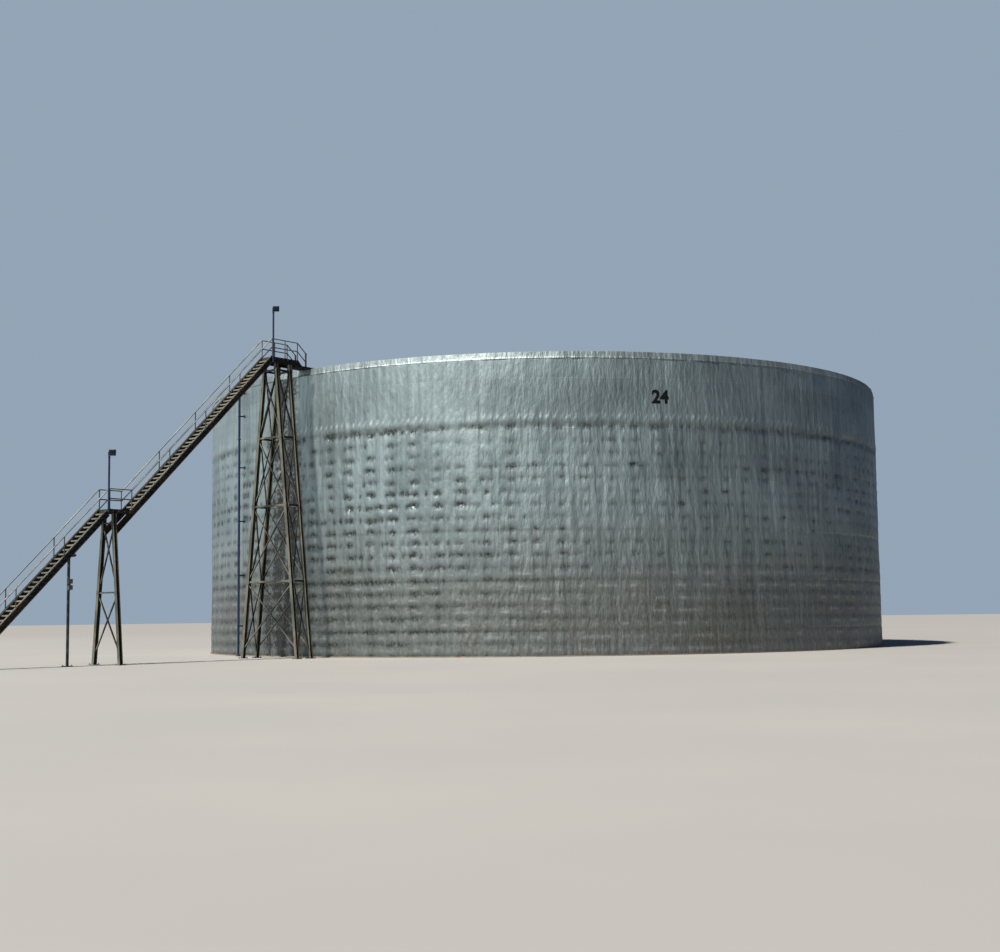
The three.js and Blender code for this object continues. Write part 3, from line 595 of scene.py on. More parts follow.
def hex_bolt(radius: float) -> Thing:
    """A bolt's head and washer, standing on the origin and pointing up."""
    parts = []
    # Sides, then radius, height, middle, inset and crown as shares of the bolt's own radius.
    head, washer = (6, 1, 0.9, 0.65, 0.12, 0.1), (10, 1.5, 0.25, 0.125, 0.1, 0)
    for sides, wide, high, middle, inset, crown in (head, washer):
        part = add(
            bpy.ops.mesh.primitive_cylinder_add,
            vertices=sides,
            radius=radius * wide,
            depth=radius * high,
            location=(0, 0, radius * middle),
        )
        with editing(part):
            pick(part, facing(0, 0, 1))
            bpy.ops.mesh.inset(thickness=radius * inset)
            bpy.ops.transform.translate(value=UP * radius * crown)
        parts.append(part)
    return joined(parts)


def spread_copies(pattern: Thing, places: Iterable[Matrix]) -> list[Thing]:
    """Copies a modelled pattern to each place, each copy with its own mesh.

    Args:
        pattern: What is copied; it is used up.
        places: The place of each copy.

    Returns:
        The copies.
    """
    made = []
    for place in places:
        copy = bpy.data.objects.new(pattern.name, pattern.data.copy())
        copy.data.transform(place)
        bpy.context.collection.objects.link(copy)
        made.append(copy)
    bpy.data.objects.remove(pattern)
    return made


def joined(parts: Sequence[Thing]) -> Thing:
    """Joins parts into one object."""
    alone(parts[0])
    for part in parts:
        part.select_set(True)
    if len(parts) > 1:
        bpy.ops.object.join()
    return parts[0]


def keep(
    parts: Sequence[Thing],
    name: str,
    finish: Finish,
    stands_for: str = "",
    smooth: bool = True,
) -> None:
    """Finishes a piece: joins it, brings it to the model's scale and hands it to the frame.

    Args:
        parts: The objects that become one piece.
        name: The piece's name.
        finish: Its surface.
        stands_for: The solid that it replaces, if any.
        smooth: Whether its round faces are shaded smooth.
    """
    piece = joined(parts)
    piece.name = piece.data.name = name
    piece.data.transform(Matrix.Scale(SCALE, 4))
    piece.data.materials.clear()
    piece.data.materials.append(finish.material())
    if smooth:
        alone(piece)
        bpy.ops.object.shade_smooth_by_angle(angle=SMOOTH_ANGLE)
    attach(piece, "root")
    if stands_for:
        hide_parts(stands_for)
    LOG.info("%s: %d faces", name, len(piece.data.polygons))


def dress(finish: Finish, *nodes: str) -> None:
    """Gives solids that stay as they are a finish."""
    for name in nodes:
        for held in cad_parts[name].material_slots:
            held.material = finish.material()
        LOG.info("%s: %s", name, finish.name)


def turn(degrees: float, axis: str = "Z") -> Matrix:
    """A turn about an axis through the origin."""
    return Matrix.Rotation(math.radians(degrees), 4, axis)


def move(*offset: float) -> Matrix:
    """A move by an offset."""
    return Matrix.Translation(offset)


def at(distance: float, across: float, height: float) -> Vector:
    """A point of the stair, from its distance to the tank's axis."""
    return Vector((-distance, across, height))


def towards(azimuth: float, height: float = 0.0) -> Vector:
    """A direction, from its degrees round the tank and above the ground."""
    side, rise = math.radians(azimuth), math.radians(height)
    flat = math.cos(rise)
    return Vector((math.cos(side) * flat, math.sin(side) * flat, math.sin(rise)))


# Wall


def bell(offset: np.ndarray, width: float | np.ndarray) -> np.ndarray:
    """A bell curve: 1 where the offset is 0, and next to nothing past twice the width."""
    return np.exp(-((offset / width) ** 2))


@dataclass(frozen=True)
class Ripple:
    """Smooth unevenness on a grid that closes on itself round the tank.

    Its waves are about as wide and as tall as the grid's steps across and up, in metres. The lean
    moves them along the wall as they rise.
    """

    across: float
    up: float
    seed: int
    lean: float = 0.0
    tallest: float = 16.0

    def at(self, arc: np.ndarray, height: np.ndarray) -> np.ndarray:
        """The unevenness at places on the wall.

        Args:
            arc: Metres along the wall.
            height: Metres above the ground.

        Returns:
            A value from -1 to 1 for each place.
        """
        columns = max(4, round(GIRTH / self.across))
        rows = int(self.tallest / self.up) + 3
        grid = np.random.RandomState(self.seed).uniform(-1, 1, (rows, columns))
        along = (arc + self.lean * height) / GIRTH * columns
        upward = np.clip(height / self.up, 0, rows - 1.001)
        column, row = np.floor(along).astype(int), np.floor(upward).astype(int)
        part, rise = along - column, upward - row
        part, rise = part * part * (3 - 2 * part), rise * rise * (3 - 2 * rise)
        left, right = column % columns, (column + 1) % columns
        over = np.minimum(row + 1, rows - 1)
        lower = grid[row, left] * (1 - part) + grid[row, right] * part
        upper = grid[over, left] * (1 - part) + grid[over, right] * part
        return lower * (1 - rise) + upper * rise


@dataclass(frozen=True)
class WrinkledSheet:
    """How far the soft-backed jacketing stands in or out, in metres, and where it is painted darker
    with shade and grime, or lighter with painted glints.
    """

    seams: tuple[float, ...] = (1.22, 3.66, 6.1, 8.53, 10.97, 13.41)
    course: float = 2.44
    strap_pitch: float = 0.61
    stud_columns: int = 412
    # How deep the studs pull the sheet in, by strap row from the ground.
    row_depths: tuple[float, ...] = (
        *(0.15, 0.25, 0.3, 0.35, 0.35, 0.4, 0.5, 0.8, 0.85, 0.8, 0.8, 1.0),
        *(1.2, 1.1, 0.9, 1.0, 0.8, 0.7, 0.9, 0.12, 0.1, 0.1, 0.1, 0.05, 0.0),
    )
    dent_depth: float = 0.045
    dent_height: float = 0.125
    crumple_height: float = 11.1
    pleat_height: float = 11.5
    pleat_pitch: float = 0.349
    calm_height: float = 11.7
    weather_arc: float = 62.0
    tower_patch_arc: float = 61.3
    tower_patch_top: float = 14.4
    lap: float = 0.0025
    limits: tuple[float, float] = (-0.085, 0.045)

    def studs(self, arc: np.ndarray, height: np.ndarray) -> np.ndarray:
        """The dents round the studs that hold the sheet, strongest at every fourth."""
        pitch = GIRTH / self.stud_columns
        draw = np.random.RandomState(11)
        rows = len(self.row_depths)
        shape = (rows, self.stud_columns)
        number = np.arange(self.stud_columns)
        fourth = number % 4 == 0
        deep = draw.uniform(0.0, 1.0, shape)
        share = np.where(fourth, 1.0, np.where(number % 2 == 0, 0.7, 0.55))
        there = draw.uniform(0.0, 1.0, shape) < np.where(fourth, 0.95, 0.5)
        deep = (0.45 + 0.75 * deep) * share * there * np.array(self.row_depths)[:, None]
        shift = draw.uniform(-0.07, 0.07, shape)
        drop = draw.uniform(-0.05, 0.05, shape)
        wide = draw.uniform(0.15, 0.26, shape) * np.where(fourth, 1.0, 0.5)
        total = np.zeros_like(arc)
        near_column = np.round(arc / pitch).astype(int)
        near_row = np.round(height / self.strap_pitch).astype(int)
        for step in (-2, -1, 0, 1, 2):
            for lift in (-1, 0, 1):
                row = np.clip(near_row + lift, 0, rows - 1)
                column = (near_column + step) % self.stud_columns
                off_arc = arc - (near_column + step) * pitch - shift[row, column]
                off_up = height - row * self.strap_pitch - drop[row, column]
                pit = bell(off_arc, wide[row, column]) * bell(off_up, self.dent_height)
                total += deep[row, column] * pit
        return total * np.clip(0.95 + 0.6 * Ripple(4.2, 1.3, 9).at(arc, height), 0.5, 1.4)

    def off_strap(self, height: np.ndarray) -> np.ndarray:
        """The distance to the nearest strap."""
        return np.abs((height / self.strap_pitch + 0.5) % 1 - 0.5) * self.strap_pitch

    def crumples(self, arc: np.ndarray, height: np.ndarray) -> np.ndarray:
        """How much the sheet is crushed where it bears on the top seam, from 0 to 1."""
        return np.abs(Ripple(0.2, 0.4, 5).at(arc, height))

    def pleats(self, arc: np.ndarray, height: np.ndarray) -> np.ndarray:
        """The slanting pleats over the crumpled band, from -1 to 1."""
        return np.sin(2 * math.pi * (arc - 0.4 * height) / self.pleat_pitch)

    def weather_side(self, arc: np.ndarray) -> np.ndarray:
        """How much the weather has worked on the sheet: most towards the stair."""
        return np.clip(1.9 - np.abs(arc - self.weather_arc) / 12.0, 0.5, 1.35)

    def hollow(self, arc: np.ndarray, height: np.ndarray) -> np.ndarray:
        """How much darker the wall is painted: painted shade with grime in the dents and the
        crumpled band, darker bands at the low straps, and below 0 for painted glints.

        Args:
            arc: Metres along the wall.
            height: Metres above the ground.

        Returns:
            A value from -1 to 0.75 for each place, and up to about 2.7 more in the darker patch
            behind the stair tower.
        """
        low = np.clip(4.8 - height, 0, 1)
        patch = 0.6 + 0.4 * Ripple(1.3, 0.6, 31).at(arc, height)
        band = bell(self.off_strap(height), 0.17) * low * patch
        # The crumpled band is painted darker: painted shade with grime.
        crushed = self.crumples(arc, height)
        crushed *= np.clip(0.5 + 1.4 * Ripple(0.9, 1.0, 35).at(arc, height), 0.0, 1.5)
        crushed = (0.1 + 1.5 * crushed) * bell(height - self.crumple_height, 0.12)
        # Painted glints on the slanting pleats over the crumpled band.
        pleat_glint = np.clip(self.pleats(arc, height), 0, 1)
        pleat_glint *= bell(height - self.pleat_height - 0.08, 0.11)
        pleat_glint *= np.clip(0.6 + 0.9 * Ripple(1.4, 1.0, 36).at(arc, height), 0, 1)
        # Painted glints in dashes between the low straps.
        between = np.abs(height / self.strap_pitch % 1 - 0.5) * self.strap_pitch
        dash_glint = np.clip(2.2 * Ripple(0.42, self.strap_pitch, 33).at(arc, height), 0, 1)
        dash_glint *= low * bell(between, 0.085)
        # The dents are painted darker, as painted shade with grime.
        total = 1.3 * self.studs(arc, height) + 0.52 * band + 0.75 * crushed
        total = total * self.weather_side(arc) - 0.5 * pleat_glint - 0.18 * dash_glint
        return np.clip(total, -1, 0.75) + self.tower_patch(arc, height)

    def tower_patch(self, arc: np.ndarray, height: np.ndarray) -> np.ndarray:
        """The darker, streaked patch on the wall behind the stair tower, darkest just under the
        platform; 0 where there is none.
        """
        across = arc - self.tower_patch_arc + 0.35 * Ripple(5.0, 1.6, 41).at(arc, height)
        wide = 0.95 + 0.05 * (self.tower_patch_top - height)
        run = np.exp(-((across / wide) ** 4))
        streaks = Ripple(0.3, 1.9, 42).at(arc, height) + 0.6 * Ripple(0.16, 0.5, 43).at(arc, height)
        blot = bell(across + 0.6, 0.5) * bell(height - 11.0, 0.8)
        return run * np.clip(1.05 + 0.8 * streaks, 0.35, 1.7) + blot

    def stand_out(self, arc: np.ndarray, height: np.ndarray) -> np.ndarray:
        """The sheet's place relative to the wall's plain cylinder.

        Args:
            arc: Metres along the wall.
            height: Metres above the ground.

        Returns:
            Metres outwards for each place.
        """
        broad = Ripple(3.1, 1.9, 1).at(arc, height)
        medium = Ripple(0.62, 0.9, 2, 0.1).at(arc, height)
        steep = Ripple(0.17, 2.2, 3, 0.06).at(arc, height)
        slanted = Ripple(0.24, 0.5, 4, -0.35).at(arc, height)
        upper = np.clip((height - self.calm_height) / 0.8, 0, 1)
        calm = 1 - 0.5 * upper
        out = 0.012 * broad + (0.011 * medium + 0.015 * steep + 0.008 * slanted) * calm
        low = np.clip((4.6 - height) / 1.2, 0, 1)
        pull = (0.003 + 0.009 * low) * (1 - upper) * (0.75 + 0.25 * medium)
        out -= pull * bell(self.off_strap(height), 0.11)
        out -= self.dent_depth * self.studs(arc, height) * self.weather_side(arc)
        crushed = 0.003 + 0.055 * self.crumples(arc, height)
        out -= crushed * bell(height - self.crumple_height - 0.02, 0.12)
        pleat = 0.5 + 0.5 * self.pleats(arc, height)
        out += 0.016 * pleat * bell(height - self.pleat_height, 0.17)
        into_course = ((height - self.seams[0]) % self.course) / self.course
        out += self.lap * (0.6 - into_course) * (1 - 0.6 * upper)
        return np.clip(out, *self.limits)


def ring_sector(
    section: Sequence[tuple[float, float]], index: int, count: int, steps: int
) -> Thing:
    """A closed sector of a ring, spun from a section.

    Args:
        section: Radius and height of its corners, up the outer face and down the back.
        index: Which sector it is.
        count: How many sectors make the ring.
        steps: Into how many columns the sector is divided.

    Returns:
        The sector.
    """
    thing = add(
        bpy.ops.mesh.primitive_circle_add,
        vertices=len(section),
        fill_type="NGON",
        calc_uvs=False,
    )
    angle = 2 * math.pi / count
    gap = HAIR / 2 / section[0][0]
    turned = Matrix.Rotation(index * angle + gap, 4, "Z")
    for point, (radius, height) in zip(thing.data.vertices, section, strict=True):
        point.co = turned @ Vector((radius, 0, height))
    thing.data.update()
    with editing(thing, everything=True):
        around = {"center": (0, 0, 0), "axis": (0, 0, 1)}
        bpy.ops.mesh.spin(steps=steps, angle=2 * gap - angle, **around)
        bpy.ops.mesh.select_all(action="SELECT")
        bpy.ops.mesh.normals_make_consistent(inside=False)
    return thing


def wrinkle(
    thing: Thing, from_radius: float, middle: float, stand_out: Relief, hollow: Relief
) -> None:
    """Moves a ring's outer points in and out, and gives it a UV map in metres.

    Args:
        thing: The ring's sector.
        from_radius: Points past this radius move.
        middle: The angle at the middle of the sector.
        stand_out: Metres outwards by arc length and height.
        hollow: How much darker the sheet is painted, with shade and grime, by arc length and
            height.
    """
    mesh = thing.data
    flat = np.zeros(len(mesh.vertices) * 3)
    mesh.vertices.foreach_get("co", flat)
    points = flat.reshape(-1, 3)
    height = points[:, 2]
    radius = np.hypot(points[:, 0], points[:, 1])
    angle = np.arctan2(points[:, 1], points[:, 0])
    angle = middle + (angle - middle + math.pi) % (2 * math.pi) - math.pi
    arc = angle * TANK_RADIUS
    moved = radius + np.where(radius > from_radius, stand_out(arc, height), 0.0)
    points[:, :2] *= (moved / radius)[:, None]
    mesh.vertices.foreach_set("co", points.ravel())
    mark_layer = mesh.attributes.new("hollow", "FLOAT", "POINT")
    mark_layer.data.foreach_set("value", hollow(arc, height))
    corner = np.zeros(len(mesh.loops), int)
    mesh.loops.foreach_get("vertex_index", corner)
    layer = mesh.uv_layers.new(name="metres")
    layer.data.foreach_set("uv", np.column_stack([arc, height])[corner].ravel())
    mesh.update()


@dataclass
class TankWall:
    """The insulated wall: eight sectors of wrinkled jacketing with lapped courses."""

    thickness: float = 0.12
    foot: float = 0.05 + HAIR
    top: float = 14.4
    sectors: int = 8
    columns: int = 208
    row_step: float = 0.1
    lap_step: float = 0.004
    sheet: WrinkledSheet = field(default_factory=WrinkledSheet)

    def rows(self) -> list[float]:
        """Heights of the rows of points, with a close pair at each lap."""
        near, seams = self.row_step / 2, self.sheet.seams
        plain = np.arange(self.foot, self.top - near, self.row_step)
        clear = [z for z in plain if all(abs(z - seam) > near for seam in seams)]
        laps = [seam + side * self.lap_step for seam in seams for side in SIDES]
        return sorted([*clear, *laps, self.top])

    def build(self) -> None:
        """Models each sector, spun from the wall's section and then wrinkled."""
        rows, inner = self.rows(), TANK_RADIUS - self.thickness
        section = [(TANK_RADIUS, z) for z in rows] + [(inner, rows[-1]), (inner, rows[0])]
        for index in range(self.sectors):
            shell = ring_sector(section, index, self.sectors, self.columns)
            middle = (index + 0.5) * 2 * math.pi / self.sectors
            skin = self.sheet.stand_out, self.sheet.hollow
            wrinkle(shell, TANK_RADIUS - 0.01, middle, *skin)
            name, solid = f"wall_jacketing_{index + 1}", f"wall_segment_{index + 1}"
            keep([shell], name, WALL_SHEET, solid)


@dataclass
class RimFlashing:
    """The curb over the roof's edge, in joined lengths, leaning in and dented."""

    foot: float = 14.4 + HAIR
    top: float = 14.735
    lean: float = 0.06
    inner: float = 19.6
    roof_there: float = 14.5056
    roof_edge: float = 19.96
    segments: int = 4
    columns: int = 416
    length: float = 2.5
    bends: tuple[float, ...] = (0, 0.02, 0.05, 0.1, 0.16, 0.22, 0.28)

    def stand_out(self, arc: np.ndarray, height: np.ndarray) -> np.ndarray:
        """Dents, joints and the drip edge of the flashing, in metres outwards."""
        dents = Ripple(0.3, 0.5, 21).at(arc, height)
        lumps = Ripple(0.9, 0.7, 22).at(arc, height)
        off_joint = ((arc / self.length + 0.5) % 1 - 0.5) * self.length
        out = 0.016 * dents + 0.014 * lumps + 0.014 * bell(off_joint, 0.06)
        return np.clip(out + 0.018 * bell(height - self.foot, 0.03), -0.05, 0.05)

    def hollow(self, arc: np.ndarray, height: np.ndarray) -> np.ndarray:
        """Darker along the drip edge, from 0 to 0.5."""
        return 0.5 * bell(height - self.foot, 0.04)

    def build(self) -> None:
        """Models each segment of the flashing."""
        tall = self.top - self.foot
        rises = [*self.bends, tall - 0.015]
        section = [(TANK_RADIUS - self.lean * z / tall, self.foot + z) for z in rises]
        section += [
            (TANK_RADIUS - self.lean - 0.012, self.top),
            (self.inner, self.top),
            (self.inner, self.roof_there),
            (self.roof_edge + HAIR, self.roof_there - 0.02),
            (self.roof_edge + HAIR, self.foot),
        ]
        for index in range(self.segments):
            length = ring_sector(section, index, self.segments, self.columns)
            middle = (index + 0.5) * 2 * math.pi / self.segments
            outside = TANK_RADIUS - self.lean - 0.02
            wrinkle(length, outside, middle, self.stand_out, self.hollow)
            name, solid = f"rim_sheet_{index + 1}", f"rim_flashing_{index + 1}"
            keep([length], name, RIM_SHEET, solid)


@dataclass
class TankRoof:
    """The low cone roof: lapped sheets, raised ribs and a bolted crown plate."""

    edge: float = 19.96
    inner: float = 1.5 + HAIR
    thickness: float = 0.08
    edge_height: float = 14.4 + HAIR
    slope: float = 1 / 16
    sectors: int = 6
    columns: int = 104
    ring: float = 1.8
    lap_drop: float = 0.016
    ribs: int = 48
    rib_ends: tuple[float, float] = (2.3, 19.55)
    rib_section: tuple[float, float] = (0.09, 0.06)
    bolt_ring: float = 1.36
    bolts: int = 24
    bolt: float = 0.03

    def top(self, radius: float) -> float:
        """Height of the roof's top at a radius."""
        return self.edge_height + (self.edge - radius) * self.slope + self.thickness

    def build(self) -> None:
        """Models the sheets, the ribs and the crown's bolts."""
        radii = [self.edge]
        radius = self.edge - self.ring
        while radius > self.inner + 0.4:
            steps = (-0.02, 0.02, self.ring / 3, 2 * self.ring / 3)
            radii += [radius - step for step in steps]
            radius -= self.ring
        radii = [*(r for r in radii if r >= self.inner), self.inner]
        section = [(r, self.top(r) - self.lap(r)) for r in radii]
        section += [(r, self.top(r) - self.thickness) for r in (self.inner, self.edge)]
        for index in range(self.sectors):
            sheet = ring_sector(section, index, self.sectors, self.columns)
            self.settle(sheet)
            name, solid = f"roof_sheets_{index + 1}", f"roof_sector_{index + 1}"
            keep([sheet], name, ROOF_SHEET, solid)
        self.build_ribs()
        self.build_crown_bolts()

    def lap(self, radius: float) -> float:
        """How far a sheet lies under the roof's plain cone, least at its lower edge."""
        return self.lap_drop * ((self.edge - radius) % self.ring) / self.ring

    def settle(self, sheet: Thing) -> None:
        """Lets the sheets sag a little between their ribs."""
        for point in sheet.data.vertices:
            x, y, z = point.co
            if z > self.top(math.hypot(x, y)) - self.thickness * 0.6:
                wave = math.sin(math.atan2(y, x) * self.ribs / 2) ** 2
                wobble = math.sin(3.1 * x + 1.7) * math.sin(2.7 * y)
                point.co.z -= 0.01 * wave + 0.004 * (1 + wobble)
        sheet.data.update()

    def build_ribs(self) -> None:
        """Models one raised rib and copies it round the roof."""
        inner, outer = self.rib_ends
        middle = (outer + inner) / 2
        rib = block((0, 0, 0), (outer - inner, *self.rib_section))
        with editing(rib):
            pick(rib, facing(0, 0, 1))
            # The rib's sides slope in to a narrow crest.
            bpy.ops.transform.resize(value=(0.998, 0.45, 1))
            bpy.ops.mesh.inset(thickness=0.008)
        tilt = turn(math.degrees(math.atan(self.slope)), "Y")
        lay = move(middle, 0, self.top(middle) + 0.01) @ tilt
        step = 360 / self.ribs
        ribs = spread_copies(rib, [turn(step * (i + 0.5)) @ lay for i in range(self.ribs)])
        keep(ribs, "roof_ribs", ROOF_SHEET)

    def build_crown_bolts(self) -> None:
        """Rings the crown plate with bolts."""
        dress(ROOF_SHEET, "roof_crown")
        spot = move(self.bolt_ring, 0, self.top(self.bolt_ring) + 0.004)
        places = [turn(360 / self.bolts * i) @ spot for i in range(self.bolts)]
        keep(spread_copies(hex_bolt(self.bolt), places), "crown_bolts", ZINC)


@dataclass
class TankNumber:
    """A plain number painted high on the wall."""

    digits: str = "24"
    size: float = 0.88
    boldness: float = 0.03
    angle: float = 234.5
    middle: float = 12.5
    proud: float = 0.006
    paint: float = 0.008
    slice_step: float = 0.06
    sheet: WrinkledSheet = field(default_factory=WrinkledSheet)

    def build(self) -> None:
        """Models the digits, slices them so that they can bend, and lays them on the wall."""
        bpy.ops.object.select_all(action="DESELECT")
        bpy.ops.object.text_add()
        text = bpy.context.active_object
        text.data.body = self.digits
        text.data.size = self.size
        text.data.align_x = text.data.align_y = "CENTER"
        text.data.offset = self.boldness
        text.data.resolution_u = 6
        bpy.ops.object.convert(target="MESH")
        with editing(text, everything=True):
            bpy.ops.mesh.remove_doubles(threshold=0.0005)
            bpy.ops.mesh.dissolve_limited(angle_limit=0.01)
        for offset in np.arange(-0.9, 0.9, self.slice_step):
            for away in ((1, 0, 0), (0, 1, 0)):
                with editing(text, everything=True):
                    bpy.ops.mesh.bisect(plane_co=Vector(away) * offset, plane_no=away)
        with editing(text, everything=True):
            push(0, 0, self.paint)
            bpy.ops.mesh.select_all(action="SELECT")
            bpy.ops.mesh.normals_make_consistent(inside=False)
        self.lay(text)
        keep([text], "tank_number", NUMBER_PAINT, smooth=False)

    def lay(self, text: Thing) -> None:
        """Bends the flat digits on to the wrinkled wall."""
        base = math.radians(self.angle) * TANK_RADIUS
        for point in text.data.vertices:
            arc, height = base + point.co.x, self.middle + point.co.y
            out = self.sheet.stand_out(np.array([arc]), np.array([height]))[0]
            radius = TANK_RADIUS + out + self.proud + point.co.z
            angle = arc / TANK_RADIUS
            point.co = Vector((radius * math.cos(angle), radius * math.sin(angle), height))
        text.data.update()


# Stair


@dataclass
class StairPlan:
    """The stair's main sizes, as distances from the tank's axis and heights."""

    rise: float = 0.2033
    going: float = 0.209
    foot: float = 39.256
    lower_risers: int = 34
    landing_length: float = 1.24
    upper_risers: int = 40
    platform_length: float = 1.75
    web_inner: float = 0.335
    web: float = 0.02
    outer: float = 0.435
    above: float = 0.05
    below: float = 0.22
    rail_offset: float = 0.385
    rail_radius: float = 0.026
    rail_height: float = 0.91
    mid_rail: float = 0.47

    @property
    def pitch(self) -> float:
        """Rise over going."""
        return self.rise / self.going

    @property
    def slope(self) -> float:
        """The flights' angle in radians."""
        return math.atan(self.pitch)

    @property
    def landing(self) -> tuple[float, float, float]:
        """The landing's two distances and its height."""
        start = self.foot - self.lower_risers * self.going
        return start, start - self.landing_length, self.lower_risers * self.rise

    @property
    def platform(self) -> tuple[float, float, float]:
        """The platform's two distances and its height."""
        start = self.landing[1] - self.upper_risers * self.going
        height = self.landing[2] + self.upper_risers * self.rise
        return start, start - self.platform_length, height

    def lower_line(self, distance: float) -> float:
        """Height of the lower flight's nosings."""
        return (self.foot - distance) * self.pitch

    def upper_line(self, distance: float) -> float:
        """Height of the upper flight's nosings."""
        return self.landing[2] + (self.landing[1] - distance) * self.pitch


PLAN = StairPlan()


@dataclass
class Flight:
    """One flight: two channel stringers, folded treads and their bolts."""

    name: str
    line: Line
    start: float
    end: float
    risers: int
    tread_depth: float = 0.229
    tread_thickness: float = 0.06
    sheet: float = 0.008
    flange: float = 0.02
    spare: float = 1.2
    bar_reach: float = 0.31
    bar_width: float = 0.016
    bars: tuple[float, ...] = (0.02, 0.1, 0.18)
    bolts: tuple[float, ...] = (0.06, 0.17)
    bolt_drop: float = 0.03
    bolt: float = 0.013

    def build(self) -> None:
        """Models the flight's parts."""
        webs = [self.stringer(side) for side in SIDES]
        keep(webs, f"{self.name}_stringers", STAIR_ENAMEL, f"{self.name}_flight")
        first = at(self.start, 0, self.line(self.start))
        step = at(-PLAN.going, 0, PLAN.rise)
        places = [move(*(first + step * number)) for number in range(1, self.risers)]
        treads = spread_copies(self.tread(), places)
        keep(treads, f"{self.name}_treads", TREAD_ENAMEL)
        face = PLAN.web_inner + PLAN.web
        holes = [
            move(along, side * face, -self.bolt_drop) @ turn(-90 * side, "X")
            for side in SIDES
            for along in self.bolts
        ]
        bolts = spread_copies(hex_bolt(self.bolt), [p @ hole for p in places for hole in holes])
        keep(bolts, f"{self.name}_tread_bolts", ZINC)

    def stringer(self, side: int) -> Thing:
        """One channel stringer, its flanges turned away from the treads.

        Args:
            side: 1 for the left of someone climbing, -1 for the right.

        Returns:
            The stringer, cut plumb at both ends.
        """
        middle, wide = (self.start + self.end) / 2, PLAN.outer - PLAN.web_inner
        normal = Vector((-math.sin(PLAN.slope), 0, math.cos(PLAN.slope)))
        centre = at(middle, side * (PLAN.web_inner + PLAN.outer) / 2, self.line(middle))
        centre += normal * (PLAN.above - PLAN.below) / 2
        length = (self.start - self.end) / math.cos(PLAN.slope) + self.spare
        thing = block((0, 0, 0), (length, wide, PLAN.above + PLAN.below))
        with editing(thing):
            pick(thing, facing(0, side, 0))
            bpy.ops.mesh.inset(thickness=self.flange)
            push(0, side * (PLAN.web - wide), 0)
            # The flanges thicken a little towards the web.
            bpy.ops.transform.resize(value=(1, 1, 0.97))
        thing.data.transform(move(*centre) @ turn(-math.degrees(PLAN.slope), "Y"))
        cut(thing, at(self.start, 0, 0), (-1, 0, 0))
        cut(thing, at(self.end, 0, 0), (1, 0, 0))
        cut(thing, at(0, 0, 0), (0, 0, -1))
        return thing

    def tread(self) -> Thing:
        """A tread folded from plate, with its nosing on the origin and three grip bars."""
        deep, thick = self.tread_depth, self.tread_thickness
        pan = block((deep / 2, 0, -thick / 2), (deep, 2 * PLAN.web_inner + PLAN.web, thick))
        with editing(pan):
            pick(pan, facing(0, 0, -1))
            bpy.ops.mesh.inset(thickness=self.sheet)
            push(0, 0, thick - self.sheet)
        reach, wide = self.bar_reach, self.bar_width
        bars = [plate((x, -reach, -0.002), (x + wide, reach, 0.005), 0.002) for x in self.bars]
        return joined([pan, *bars])


@dataclass
class Decks:
    """The landing, the platform and the steps over the rim, with grip bars and deck bolts."""

    inset: float = 0.04
    bars_a_bay: int = 5
    bar: tuple[float, float, float] = (0.006, 0.33, 0.01)
    bolt_drop: float = 0.09
    bolt: float = 0.018

    def build(self) -> None:
        """Dresses the decks."""
        # The decks' frames take the darker enamel as painted shade.
        dress(SHADED_ENAMEL, "mid_landing", "top_platform", "roof_steps")
        bars, bolts = [], []
        for start, end, height, bays in ((*PLAN.landing, 4), (*PLAN.platform, 6)):
            bars += self.grip_bars(start - self.inset, end + self.inset, height, bays)
            step = (start - end) / bays
            bolts += [
                move(*at(start - (bay + 0.5) * step, side * PLAN.outer, height - self.bolt_drop))
                @ turn(-90 * side, "X")
                for bay in range(bays)
                for side in SIDES
            ]
        keep(bars, "deck_grip_bars", TREAD_ENAMEL)
        keep(spread_copies(hex_bolt(self.bolt), bolts), "deck_bolts", ZINC)

    def grip_bars(self, start: float, end: float, height: float, bays: int) -> list[Thing]:
        """The raised grip bars of a deck, across the way that one walks."""
        total = bays * self.bars_a_bay
        step = (start - end) / total
        half, reach, tall = self.bar
        bar = plate((-half, -reach, 0.0), (half, reach, tall), 0.002)
        return spread_copies(
            bar, [move(*at(start - (i + 0.5) * step, 0, height + HAIR)) for i in range(total)]
        )


